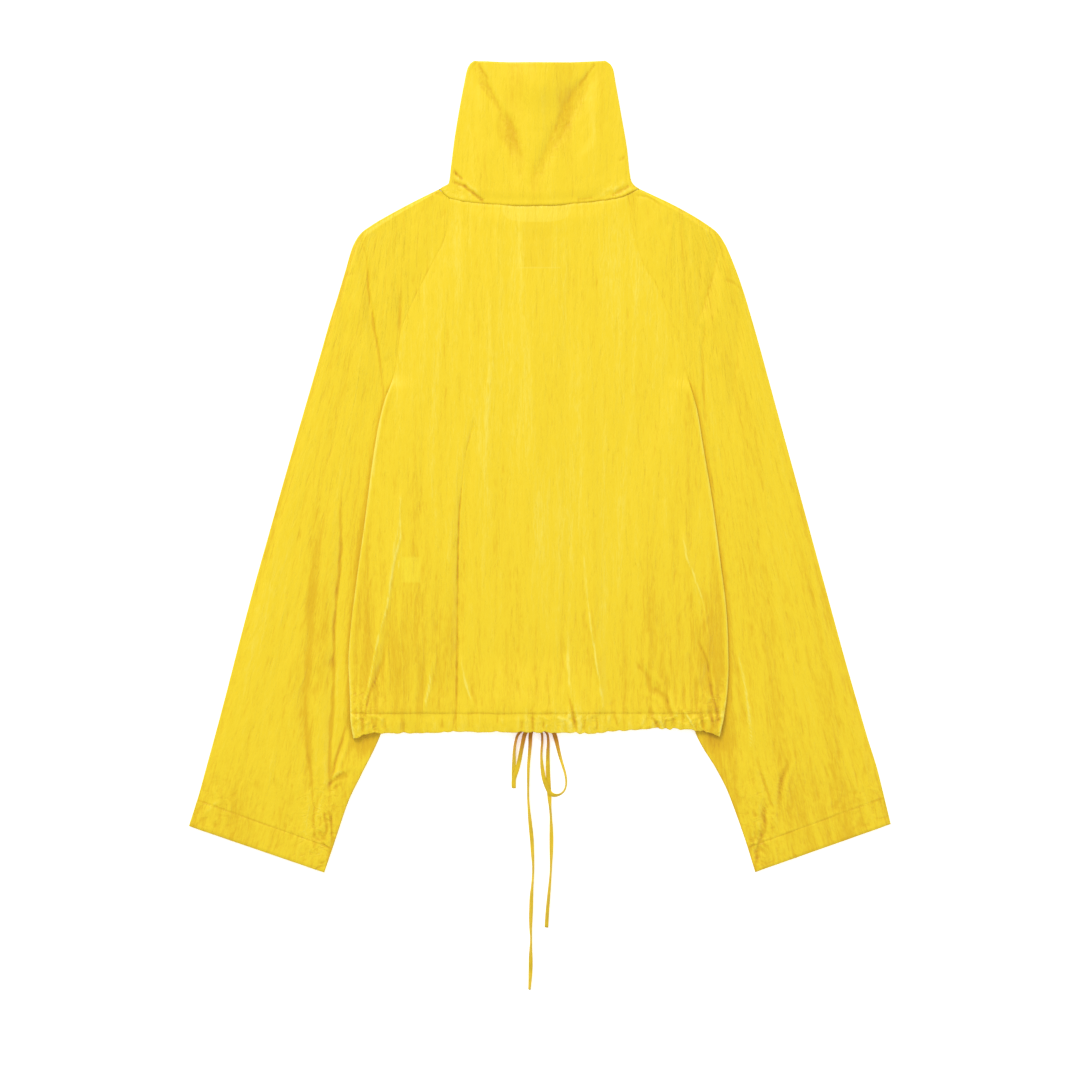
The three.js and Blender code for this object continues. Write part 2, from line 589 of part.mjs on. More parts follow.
// A prism across the zip from an outline in the plane of Y and Z
function crossPrism(outline, wide) {
  const shape = new THREE.Shape(outline.map(([y, z]) => new THREE.Vector2(y, z)));
  const geometry = new THREE.ExtrudeGeometry(shape, { depth: wide, bevelEnabled: false });
  geometry.translate(0, 0, -wide / 2);
  geometry.applyMatrix4(new THREE.Matrix4().set(0, 0, 1, 0, 1, 0, 0, 0, 0, 1, 0, 0, 0, 0, 0, 1));
  return geometry;
}

const box = (x0, x1, y0, y1, z0, z1) => new THREE.BoxGeometry(x1 - x0, y1 - y0, z1 - z0)
  .translate((x0 + x1) / 2, (y0 + y1) / 2, (z0 + z1) / 2);

function toManifold(geometry) {
  const bare = geometry.clone();
  bare.deleteAttribute('normal');
  bare.deleteAttribute('uv');
  const merged = mergeVertices(bare, 1e-4);
  return new wasm.Manifold(new wasm.Mesh({
    numProp: 3,
    vertProperties: new Float32Array(merged.attributes.position.array),
    triVerts: new Uint32Array(merged.index.array),
  }));
}

function fromManifold(body) {
  const { vertProperties, triVerts } = body.getMesh();
  const geometry = new THREE.BufferGeometry();
  geometry.setAttribute('position', new THREE.Float32BufferAttribute(vertProperties, 3));
  geometry.setIndex([...triVerts]);
  return geometry;
}

// Slider: two plates round the chain joined at the top, with ears and a pin for the pull
const pinZ = 1.2;
function zipSlider() {
  const y0 = sliderY - 6;
  const y1 = sliderY + 6;
  const plates = crossPrism([
    [y0, 3.0], [y1, 3.0], [y1, 7.3], [y0, 7.3], [y0, 6.6], [y1 - 2.4, 6.6], [y1 - 2.4, 3.85], [y0, 3.85],
  ], 7.2);
  const pin = new THREE.CylinderGeometry(0.45, 0.45, 5.6, 12).rotateZ(Math.PI / 2)
    .translate(0, sliderY, pinZ);
  const earX = 2.6;
  const ears = [-earX, earX].map((x) => box(x - 0.4, x + 0.4, sliderY - 1, sliderY + 1, 0.4, 3.2));
  let body = toManifold(plates).add(toManifold(pin));
  for (const ear of ears) body = body.add(toManifold(ear));
  return solid('zip_slider', fromManifold(body), yellow, 0.4);
}

function zipPull() {
  const ring = new THREE.Shape();
  ring.absarc(0, 0, 1.1, 0, 2 * Math.PI);
  const hole = new THREE.Path();
  hole.absarc(0, 0, 0.75, 0, 2 * Math.PI, true);
  ring.holes.push(hole);
  const barrel = new THREE.ExtrudeGeometry(ring, { depth: 3.6, bevelEnabled: false, curveSegments: 8 });
  barrel.translate(0, 0, -1.8).rotateY(Math.PI / 2).translate(0, sliderY, pinZ);
  const neck = box(-1.8, 1.8, sliderY - 6, sliderY - 0.95, pinZ - 0.5, pinZ + 0.5);
  const grip = box(-2.7, 2.7, sliderY - 22, sliderY - 4, pinZ - 0.6, pinZ + 0.6);
  const body = toManifold(barrel).add(toManifold(neck)).add(toManifold(grip));
  return solid('zip_pull', fromManifold(body), yellow, 0.4);
}

// Flat tie. Each route row is a place on the centre line, how far it is raised off the surface
// by what it crosses, and its twist in degrees
const tieRoutes = {
  drawstring_loop_left: [
    { x: -13.4, y: -294.3, over: 0, twist: 0 }, { x: -14.2, y: -297.6, over: 0, twist: 0 },
    { x: -19.4, y: -302, over: 0, twist: 0 }, { x: -25.2, y: -308, over: 0, twist: 0 },
    { x: -28.2, y: -317, over: 0, twist: 10 }, { x: -29.6, y: -327, over: 0, twist: 25 },
    { x: -29.9, y: -338, over: 0, twist: 20 }, { x: -30.1, y: -349, over: 0, twist: 0 },
    { x: -30.1, y: -359.4, over: 0, twist: 0 }, { x: -30.1, y: -369.3, over: 0.75, twist: 0 },
    { x: -30.0, y: -359.4, over: 1.5, twist: 0 }, { x: -26.4, y: -348.4, over: 1.5, twist: 0 },
    { x: -23.8, y: -338, over: 1.2, twist: 0 }, { x: -21.9, y: -328, over: 0.7, twist: 0 },
    { x: -19.7, y: -317, over: 0.7, twist: 0 }, { x: -17.2, y: -307, over: 1.1, twist: 0 },
    { x: -12.4, y: -299.6, over: 1.5, twist: 0 }, { x: -10.6, y: -294.3, over: 1.5, twist: 0 },
  ],
  drawstring_loop_right: [
    { x: -4.6, y: -294.3, over: 1.5, twist: 0 }, { x: -3.2, y: -299, over: 1.5, twist: 0 },
    { x: 1.8, y: -306, over: 1.5, twist: 0 }, { x: 2.6, y: -315, over: 0.4, twist: 0 },
    { x: 1.8, y: -325, over: 0, twist: 20 }, { x: 1.6, y: -335, over: 0, twist: 35 },
    { x: 2.6, y: -347, over: 0.5, twist: 25 }, { x: 4.5, y: -358, over: 1.5, twist: 0 },
    { x: 8, y: -368.5, over: 1.5, twist: 0 }, { x: 12.2, y: -375.8, over: 1.5, twist: 0 },
    { x: 17.9, y: -378.3, over: 1.3, twist: 0 }, { x: 24, y: -376.6, over: 0.5, twist: 0 },
    { x: 28.7, y: -371.4, over: 0, twist: 10 }, { x: 30.4, y: -363.5, over: 0, twist: 25 },
    { x: 29.3, y: -353.5, over: 0, twist: 35 }, { x: 26.2, y: -343.5, over: 0, twist: 35 },
    { x: 23.2, y: -333.5, over: 0, twist: 20 }, { x: 20.6, y: -323, over: 0, twist: 0 },
    { x: 18.2, y: -313, over: 0.3, twist: 0 }, { x: 14.8, y: -304.6, over: 1.3, twist: 0 },
    { x: 5.6, y: -299, over: 1.5, twist: 0 }, { x: 2.2, y: -294.3, over: 1.5, twist: 0 },
  ],
  drawstring_end_left: [
    { x: -7.6, y: -294.3, over: 0, twist: 0 }, { x: -8.6, y: -300, over: 0, twist: 0 },
    { x: -10.8, y: -308, over: 0, twist: 0 }, { x: -11.4, y: -320, over: 0, twist: 0 },
    { x: -12.4, y: -332, over: 0, twist: 0 }, { x: -13.4, y: -346, over: 0, twist: 10 },
    { x: -13.6, y: -358, over: 0, twist: 35 }, { x: -13.7, y: -370, over: 0, twist: 65 },
    { x: -13.6, y: -382, over: 0, twist: 60 }, { x: -12.8, y: -394, over: 0, twist: 25 },
    { x: -11.6, y: -407, over: 0, twist: 10 }, { x: -10.2, y: -420, over: 0, twist: 0 },
    { x: -9.2, y: -432, over: 0, twist: 10 }, { x: -8.6, y: -445, over: 0, twist: 30 },
    { x: -7.9, y: -458, over: 0, twist: 60 }, { x: -8.1, y: -470, over: 0, twist: 65 },
    { x: -8.9, y: -482, over: 0, twist: 40 }, { x: -9.8, y: -494, over: 0, twist: 15 },
    { x: -10.2, y: -507, over: 0, twist: 10 }, { x: -10.6, y: -519, over: 0, twist: 25 },
    { x: -10.7, y: -531, over: 0, twist: 50 }, { x: -10.3, y: -543, over: 0, twist: 60 },
    { x: -10.6, y: -555, over: 0, twist: 30 }, { x: -10.7, y: -567, over: 0, twist: 10 },
    { x: -10.9, y: -579, over: 0, twist: 15 }, { x: -11.4, y: -590, over: 0, twist: 40 },
    { x: -12.2, y: -601.2, over: 0, twist: 55 },
  ],
  drawstring_end_right: [
    { x: -1.6, y: -294.3, over: 0, twist: 0 }, { x: -0.7, y: -297.6, over: 0, twist: 0 },
    { x: 4.2, y: -302, over: 0, twist: 0 }, { x: 8.6, y: -308, over: 0, twist: 0 },
    { x: 9.5, y: -317, over: 0, twist: 10 }, { x: 9.1, y: -328, over: 0, twist: 10 },
    { x: 9.0, y: -340, over: 0, twist: 0 }, { x: 9.3, y: -352, over: 0, twist: 0 },
    { x: 9.9, y: -364, over: 0, twist: 0 }, { x: 10.6, y: -376, over: 0, twist: 0 },
    { x: 11.4, y: -389, over: 0, twist: 10 }, { x: 12.4, y: -402, over: 0, twist: 30 },
    { x: 12.9, y: -415, over: 0, twist: 10 }, { x: 13.1, y: -428, over: 0, twist: 5 },
    { x: 13.0, y: -441, over: 0, twist: 25 }, { x: 12.7, y: -454, over: 0, twist: 45 },
    { x: 12.2, y: -467, over: 0, twist: 60 }, { x: 11.2, y: -480, over: 0, twist: 50 },
    { x: 10, y: -493, over: 0, twist: 35 }, { x: 8.9, y: -506, over: 0, twist: 20 },
    { x: 8, y: -518, over: 0, twist: 10 }, { x: 7.4, y: -529.7, over: 0, twist: 0 },
  ],
  drawstring_lead_left: [
    { x: -17.1, y: -288.5, over: 1.6, twist: 0 }, { x: -20.4, y: -288.8, over: 1.8, twist: 0 },
    { x: -23.8, y: -290.8, over: 2.9, twist: 0 }, { x: -27.6, y: -292, over: 3.5, twist: 0 },
  ],
  drawstring_lead_right: [
    { x: 5.5, y: -288.5, over: 1.6, twist: 0 }, { x: 8.8, y: -288.8, over: 1.8, twist: 0 },
    { x: 12.4, y: -290.8, over: 2.9, twist: 0 }, { x: 16.2, y: -292, over: 3.5, twist: 0 },
  ],
};

// A path through every route row, with the section kept level and turned by the row's twist
class TiePath extends THREE.CatmullRomCurve3 {
  constructor(rows) {
    const rise = (twist) => (tieWidth * Math.abs(Math.sin(twist)) + tieThick * Math.cos(twist)) / 2;
    super(rows.map((row) => new THREE.Vector3(
      row.x, row.y, 0.05 + rise(THREE.MathUtils.degToRad(row.twist)) + row.over,
    )), false, 'catmullrom');
    this.twists = rows.map((row) => THREE.MathUtils.degToRad(row.twist));
  }

  getPointAt(t, target) {
    return this.getPoint(t, target);
  }

  getTangentAt(t, target) {
    return this.getTangent(t, target);
  }

  computeFrenetFrames(segments) {
    const tangents = [];
    const normals = [];
    const binormals = [];
    const level = new THREE.Vector3(1, 0, 0);
    for (let i = 0; i <= segments; i += 1) {
      const tangent = this.getTangentAt(i / segments);
      const flat = new THREE.Vector3().crossVectors(tangent, new THREE.Vector3(0, 0, 1));
      if (flat.length() > 0.5) level.copy(flat.multiplyScalar(flat.dot(level) < 0 ? -1 : 1));
      level.addScaledVector(tangent, -level.dot(tangent)).normalize();
      const normal = level.clone().applyAxisAngle(tangent, this.twists[i]);
      tangents.push(tangent);
      normals.push(normal);
      binormals.push(new THREE.Vector3().crossVectors(tangent, normal));
    }
    return { tangents, normals, binormals };
  }
}

function tie(name, rows) {
  const w = tieWidth / 2;
  const h = tieThick / 2;
  const section = new THREE.Shape([
    [w, -0.4 * h], [w, 0.4 * h], [0.76 * w, h], [-0.76 * w, h],
    [-w, 0.4 * h], [-w, -0.4 * h], [-0.76 * w, -h], [0.76 * w, -h],
  ].map(([x, y]) => new THREE.Vector2(x, y)));
  const geometry = new THREE.ExtrudeGeometry(section, {
    steps: rows.length - 1, bevelEnabled: false, extrudePath: new TiePath(rows),
  });
  return solid(name, geometry, tieYellow, 0.6);
}

// The bow's knot, under the front hem
function knot() {
  const halfX = 10.7;
  const halfY = 5.5;
  const corner = 3;
  const outline = new THREE.Shape();
  outline.absarc(halfX - corner, halfY - corner, corner, 0, Math.PI / 2);
  outline.absarc(corner - halfX, halfY - corner, corner, Math.PI / 2, Math.PI);
  outline.absarc(corner - halfX, corner - halfY, corner, Math.PI, 1.5 * Math.PI);
  outline.absarc(halfX - corner, corner - halfY, corner, 1.5 * Math.PI, 2 * Math.PI);
  const geometry = new THREE.ExtrudeGeometry(outline, {
    depth: 2.8, steps: 1, curveSegments: 3, bevelThickness: 0.8, bevelSize: 0.8, bevelOffset: -0.8,
    bevelSegments: 1,
  });
  geometry.translate(-5.8, knotY, 0.9);
  return solid('drawstring_knot', geometry, tieYellow, 0.6);
}

const garment = new THREE.Group();
garment.add(backPanel());
for (const side of ['left', 'right']) {
  garment.add(frontPanel(side));
  garment.add(sleeve(side));
}
garment.add(collar());
garment.add(hemChannel('hem_channel_back', -230, 230, 5, hemBackUnder, hemCloth));
garment.add(hemChannel('hem_channel_front_left', -230, -zipHalfGap, 12, frontLift, hemCloth));
garment.add(hemChannel('hem_channel_front_right', zipHalfGap, 230, 12, frontLift, hemCloth));
for (const side of ['left', 'right']) garment.add(zipTape(side));
garment.add(zipChain());
garment.add(zipSlider());
garment.add(zipPull());
garment.add(knot());
for (const [name, rows] of Object.entries(tieRoutes)) garment.add(tie(name, rows));

export default garment;
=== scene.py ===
import bpy
import math
import numpy as np
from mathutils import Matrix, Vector
from mathutils.bvhtree import BVHTree


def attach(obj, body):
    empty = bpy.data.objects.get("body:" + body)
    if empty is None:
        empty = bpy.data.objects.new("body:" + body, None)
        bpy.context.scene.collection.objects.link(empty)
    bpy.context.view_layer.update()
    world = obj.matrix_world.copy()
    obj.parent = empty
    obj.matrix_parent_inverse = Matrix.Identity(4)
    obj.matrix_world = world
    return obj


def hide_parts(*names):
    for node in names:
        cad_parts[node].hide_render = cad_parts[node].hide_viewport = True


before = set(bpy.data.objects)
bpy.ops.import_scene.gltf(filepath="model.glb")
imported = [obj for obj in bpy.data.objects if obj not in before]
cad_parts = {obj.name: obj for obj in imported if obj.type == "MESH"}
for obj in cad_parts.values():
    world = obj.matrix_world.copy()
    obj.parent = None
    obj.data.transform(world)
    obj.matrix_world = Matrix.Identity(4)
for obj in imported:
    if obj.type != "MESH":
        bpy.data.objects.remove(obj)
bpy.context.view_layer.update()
mm = 0.001  # tables of the garment are in millimetres, and every mesh is made in metres
print("frame loaded")


# Camera, straight above the garment as it lies
camera = {"lens": 100, "sensor": 36, "frameWide": 1.242, "middle": (0.0, -0.0844)}
eye = bpy.data.cameras.new("camera")
eye.lens = camera["lens"]
eye.sensor_width = camera["sensor"]
eyeObject = bpy.data.objects.new("camera", eye)
eyeHeight = camera["frameWide"] * camera["lens"] / camera["sensor"]
eyeObject.location = (*camera["middle"], eyeHeight)
bpy.context.collection.objects.link(eyeObject)
bpy.context.scene.camera = eyeObject


# Small helpers for numbers
def mix(a, b, t):
    return a + (b - a) * t


def smooth(start, end, value):
    t = np.clip((value - start) / (end - start), 0, 1)
    return t * t * (3 - 2 * t)


def hump(off, wide):
    return np.exp(-((off / wide) ** 2))


def lengthAlong(x, y):
    return np.concatenate([[0], np.cumsum(np.hypot(np.diff(x), np.diff(y)))])


def tableAt(rows, column, at, key=0):
    # a smooth curve through one column of a short table, at places of its key column
    rows = sorted(rows, key=lambda row: row[key])
    keys = np.array([row[key] for row in rows], float)
    values = np.array([row[column] for row in rows], float)
    spans = np.diff(keys)
    slopes = np.diff(values) / spans
    product, total = slopes[:-1] * slopes[1:], slopes[:-1] + slopes[1:]
    inner = np.where(product > 0, 2 * product / np.where(total == 0, 1, total), 0)
    tangents = np.concatenate([slopes[:1], inner, slopes[-1:]])
    at = np.asarray(at, float)
    i = np.clip(np.searchsorted(keys, at, side="right") - 1, 0, len(spans) - 1)
    t = np.clip((at - keys[i]) / spans[i], 0, 1)
    return ((2 * t**3 - 3 * t**2 + 1) * values[i] + (t**3 - 2 * t**2 + t) * tangents[i] * spans[i]
            + (3 * t**2 - 2 * t**3) * values[i + 1] + (t**3 - t**2) * tangents[i + 1] * spans[i])


# Shader sockets that take Python's operators
class Socket:
    def __init__(self, tree, output, kind="value"):
        self.tree, self.output, self.kind = tree, output, kind

    def combine(self, operation, other, swapped=False):
        first, second = (other, self) if swapped else (self, other)
        numbers = self.kind == "value" and getattr(other, "kind", "value") == "value"
        node = "ShaderNodeMath" if numbers else "ShaderNodeVectorMath"
        return self.tree.add(node, {"operation": operation}, {0: first, 1: second})

    def __add__(self, other): return self.combine("ADD", other)
    def __radd__(self, other): return self.combine("ADD", other, True)
    def __sub__(self, other): return self.combine("SUBTRACT", other)
    def __rsub__(self, other): return self.combine("SUBTRACT", other, True)
    def __mul__(self, other): return self.combine("MULTIPLY", other)
    def __rmul__(self, other): return self.combine("MULTIPLY", other, True)
    def __truediv__(self, other): return self.combine("DIVIDE", other)
    def __pow__(self, other): return self.combine("POWER", other)
    def __abs__(self): return self.tree.add("ShaderNodeMath", {"operation": "ABSOLUTE"}, {0: self})

    def ease(self, start, end, low=0.0, high=1.0):
        values = {"Value": self, "From Min": start, "From Max": end, "To Min": low, "To Max": high}
        return self.tree.add("ShaderNodeMapRange", {"interpolation_type": "SMOOTHSTEP"}, values)

    def part(self, name):
        return self.tree.add("ShaderNodeSeparateXYZ", {}, {0: self}, name)


class Finish:
    def __init__(self, name):
        self.material = bpy.data.materials.new(name)
        self.material.use_nodes = True
        self.nodes = self.material.node_tree.nodes
        self.links = self.material.node_tree.links
        self.surface = next(node for node in self.nodes if node.type == "BSDF_PRINCIPLED")

    def add(self, kind, settings, values, output=0):
        node = self.nodes.new(kind)
        for name, value in settings.items():
            setattr(node, name, value)
        for name, value in values.items():
            self.join(self.pick(node.inputs, name), value)
        result = self.pick(node.outputs, output)
        return Socket(self, result, {"VECTOR": "vector", "RGBA": "colour"}.get(result.type, "value"))

    def pick(self, sockets, name):
        if isinstance(name, int):
            return sockets[name]
        return next(s for s in sockets if s.name == name and s.enabled)

    def join(self, socket, value):
        if isinstance(value, Socket):
            self.links.new(value.output, socket)
        elif socket.type == "RGBA" and len(value) == 3:
            socket.default_value = (*value, 1)
        else:
            socket.default_value = value

    def set(self, **values):
        for name, value in values.items():
            self.join(self.surface.inputs[name.replace("_", " ")], value)

    def blend(self, first, second, factor):
        values = {"Factor": factor, "A": first, "B": second}
        return self.add("ShaderNodeMix", {"data_type": "RGBA"}, values, "Result")

    def noise(self, place, scales, detail=2.0, rough=0.5, warp=0.0):
        values = {"Vector": place * scales, "Scale": 1.0, "Detail": detail, "Roughness": rough,
                  "Distortion": warp}
        return self.add("ShaderNodeTexNoise", {}, values, "Fac")

    def bump(self, height):
        return self.add("ShaderNodeBump", {}, {"Height": height, "Distance": 1.0}, "Normal")


# Nylon: thin, crinkled lengthwise, with soft lighter and darker streaks
nylon = {
    # crease, deep and pale also carry painted shade in creases and dips and painted highlight on ridges
    "crease": (0.55, 0.285, 0.0), "deep": (0.675, 0.418, 0.002), "colour": (0.778, 0.569, 0.0105),
    "pale": (0.815, 0.665, 0.078), "tones": (-0.45, 0.02, 0.5, 1.05),  # where each colour is full
    "roughness": 0.46, "rougher": 0.09, "sheen": 0.06, "specular": 0.32,
    # noise over the cut: width, length and strength
    "streak": (0.009, 0.15, 0.56), "cloud": (0.026, 0.30, 0.60), "grain": (0.0016, 0.012, 0.44),
    "crinkle": (0.0042, 0.034, 0.0007), "fine": (0.0013, 0.006, 0.00022),
    "crumple": (0.009, 0.011, 0.0011),
    "wander": 0.006, "ridgeShade": 0.5, "ridgeRise": 0.6, "edgeShade": 0.9, "ridgeMean": 0.8,
}


def nylonFinish(name, patches=None, depth=0.0, streaky=1.0):
    finish = Finish(name)
    place = finish.add("ShaderNodeUVMap", {"uv_map": "cut"}, {}, "UV")
    shade, crumpling = [finish.add("ShaderNodeAttribute", {"attribute_name": label}, {}, "Fac")
                   for label in ("shade", "crumple")]
    wander = finish.noise(place, (22, 14, 1))
    bent = place + finish.add("ShaderNodeCombineXYZ", {}, {"X": wander * nylon["wander"]})

    def layer(kind, where, detail, rough, warp=0.0):
        wide, long, strength = nylon[kind]
        return finish.noise(where, (1 / wide, 1 / long, 1), detail, rough, warp), strength

    streak, streakStrength = layer("streak", bent, 3, 0.6)
    cloud, cloudStrength = layer("cloud", place, 2, 0.5)
    grain, grainStrength = layer("grain", bent, 2, 0.65)
    crinkle, crinkleHigh = layer("crinkle", bent, 3, 0.6, 0.5)
    fine, fineHigh = layer("fine", bent, 2, 0.6)
    facet, facetHigh = layer("crumple", place, 3, 0.55, 0.8)
    ridges, edges = 1 - abs(crinkle * 2 - 1), 1 - abs(facet * 2 - 1)
    # shade brings the painted shade and highlight; streak, cloud and grain are the nylon's own uneven
    # tone
    tone = shade - depth + (streak - 0.5) * (streakStrength * streaky) + (cloud - 0.5) * cloudStrength
    tone = tone + (grain - 0.5) * (grainStrength * streaky)
    # painted highlight on the crinkles' ridges
    tone = tone + (ridges - nylon["ridgeMean"]) * (nylon["ridgeShade"] * streaky)
    # painted light and shade on the facets of crumpled cloth
    tone = tone + (edges - nylon["ridgeMean"]) * crumpling * nylon["edgeShade"]
    colour = nylon["crease"]
    for step, paintedShade in enumerate(("deep", "colour", "pale")):
        colour = finish.blend(colour, nylon[paintedShade], tone.ease(*nylon["tones"][step:step + 2]))
    if patches:
        colour = patches(finish, place, colour)
    rise = crinkle * crinkleHigh + ridges * (nylon["ridgeRise"] * crinkleHigh) + fine * fineHigh
    rough = [nylon["roughness"] + change for change in (-nylon["rougher"], nylon["rougher"])]
    finish.set(Base_Color=colour, Roughness=grain.ease(0.25, 0.75, *rough),
               Normal=finish.bump(rise + edges * crumpling * facetHigh))
    finish.surface.inputs["Specular IOR Level"].default_value = nylon["specular"]
    finish.surface.inputs["Sheen Weight"].default_value = nylon["sheen"]
    return finish.material


# What shows faintly through the back: the half-moon facing, the strip below it and the care patch
throughBack = {
    "moon": {"middle": (-0.0043, 0.3005), "half": (0.0395, 0.0195), "round": 3.2, "lighter": 0.24},
    "strip": {"left": -0.0195, "right": 0.0138, "top": 0.281, "bottom": 0.228, "darker": 0.12},
    "patch": {"left": -0.1590, "right": -0.1370, "top": -0.104, "bottom": -0.133, "lighter": 0.42,
              "colour": (0.83, 0.685, 0.027)},
    "lines": [(-0.0235, 0.0235, 0.2284), (-0.2105, -0.2, 0.2295), (0.105, 0.125, 0.2612)],
    "lineHalf": 0.0006, "lineLighter": 0.35,
}


def boxMask(x, y, area, soft):
    left, right, bottom, top = [area[edge] for edge in ("left", "right", "bottom", "top")]
    across = x.ease(left - soft, left + soft) * x.ease(right + soft, right - soft)
    up = y.ease(bottom - soft, bottom + soft) * y.ease(top + soft, top - soft)
    return across * up


def backPatches(finish, place, colour):
    x, y = place.part("X"), place.part("Y")
    moon = throughBack["moon"]
    across = abs(x - moon["middle"][0]) / moon["half"][0]
    down = abs(y - moon["middle"][1]) / moon["half"][1]
    inMoon = (across ** moon["round"] + down ** moon["round"]).ease(1.14, 0.9)
    strip = boxMask(x, y, throughBack["strip"], 0.0016)
    patch = boxMask(x, y, throughBack["patch"], 0.0018)
    colour = finish.blend(colour, nylon["deep"], strip * throughBack["strip"]["darker"])
    colour = finish.blend(colour, nylon["pale"], inMoon * moon["lighter"])
    half = throughBack["lineHalf"]
    for left, right, level in throughBack["lines"]:
        line = {"left": left, "right": right, "top": level + half, "bottom": level - half}
        inLine = boxMask(x, y, line, 0.0008)
        colour = finish.blend(colour, nylon["pale"], inLine * throughBack["lineLighter"])
    return finish.blend(colour, throughBack["patch"]["colour"], patch * throughBack["patch"]["lighter"])


def plainFinish(name, colour, roughness, grain=0.0002, weave=None, shaded=None):
    finish = Finish(name)
    place = finish.add("ShaderNodeTexCoord", {}, {}, "Object")
    speck = finish.noise(place, (900, 900, 900), 3, 0.6)
    wide = finish.noise(place, (120, 60, 120), 3, 0.6)
    rise = speck * grain
    if weave:
        wave = {"wave_type": "BANDS", "bands_direction": "DIAGONAL"}
        values = {"Vector": place, "Scale": weave, "Distortion": 1.5}
        threads = finish.add("ShaderNodeTexWave", wave, values, "Fac")
        rise = rise + threads * (2 * grain)
    toned = finish.blend([0.8 * c for c in colour], colour, wide.ease(0.3, 0.66))
    # painted shade where the tie lies under the hem
    if shaded:
        under = place.part("Y").ease(shaded["from"], shaded["full"])
        toned = finish.blend(toned, shaded["colour"], under * shaded["share"])
    finish.set(Base_Color=toned, Roughness=speck.ease(0.2, 0.8, roughness - 0.08, roughness + 0.08),
               Normal=finish.bump(rise))
    return finish.material


finishes = {
    "back": nylonFinish("nylonBack", backPatches),
    "sleeve": nylonFinish("nylonSleeve", depth=0.10),
    "collar": nylonFinish("nylonCollar", depth=0.03, streaky=0.6),
    "front": nylonFinish("nylonFront"),
    "tie": plainFinish("tieCloth", (0.76, 0.515, 0.0015), 0.6, weave=260, shaded={
        "colour": (0.52, 0.19, 0.0), "from": -0.342, "full": -0.31, "share": 0.95}),  # painted shade where the tie comes out from under the hem
    "thread": plainFinish("thread", (0.76, 0.54, 0.008), 0.6),
    "tape": plainFinish("zipTape", (0.76, 0.54, 0.015), 0.7, weave=400),
    "zip": plainFinish("zipPlastic", (0.78, 0.54, 0.012), 0.33),
    "metal": plainFinish("zipPaint", (0.78, 0.54, 0.02), 0.25, grain=0.00005),
}
print("finishes made")


# Meshes
def meshPiece(name, points, faces, finish, uv=None, flat=False):
    mesh = bpy.data.meshes.new(name)
    mesh.from_pydata([tuple(p) for p in points], [], faces)
    mesh.materials.append(finish)
    if uv is not None:
        layer = mesh.uv_layers.new(name="cut")
        corner = np.empty(len(mesh.loops), dtype=np.int32)
        mesh.loops.foreach_get("vertex_index", corner)
        layer.data.foreach_set("uv", np.asarray(uv, dtype=np.float32)[corner].ravel())
    mesh.polygons.foreach_set("use_smooth", [not flat] * len(mesh.polygons))
    piece = bpy.data.objects.new(name, mesh)
    bpy.context.collection.objects.link(piece)
    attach(piece, "jacket")
    return piece


def gridFaces(rows, columns, first=0, turned=False):
    faces = []
    for r in range(rows - 1):
        for c in range(columns - 1):
            a = first + r * columns + c
            face = (a, a + columns, a + columns + 1, a + 1)
            faces.append(face[::-1] if turned else face)
    return faces


surfaceTrees = {}  # each cloth's surface, to seat stitches on


def sheetPiece(name, x, y, z, u, v, finish, shade=None, crumpling=None, thick=0.0006, turned=False):
    rows, columns = x.shape
    points = np.stack([x, y, z], -1).reshape(-1, 3) * mm
    uv = np.stack([u, v], -1).reshape(-1, 2) * mm
    faces = gridFaces(rows, columns, turned=turned)
    piece = meshPiece(name, points, faces, finish, uv=uv)
    for label, values in (("shade", shade), ("crumple", crumpling)):
        if values is not None:
            layer = piece.data.attributes.new(label, "FLOAT", "POINT")
            layer.data.foreach_set("value", np.asarray(values, dtype=np.float32).ravel())
    surfaceTrees[name] = BVHTree.FromPolygons([tuple(p) for p in points], faces)
    shell = piece.modifiers.new("cloth", "SOLIDIFY")
    shell.thickness = thick
    shell.offset = -1
    shell.use_even_offset = False
    return piece


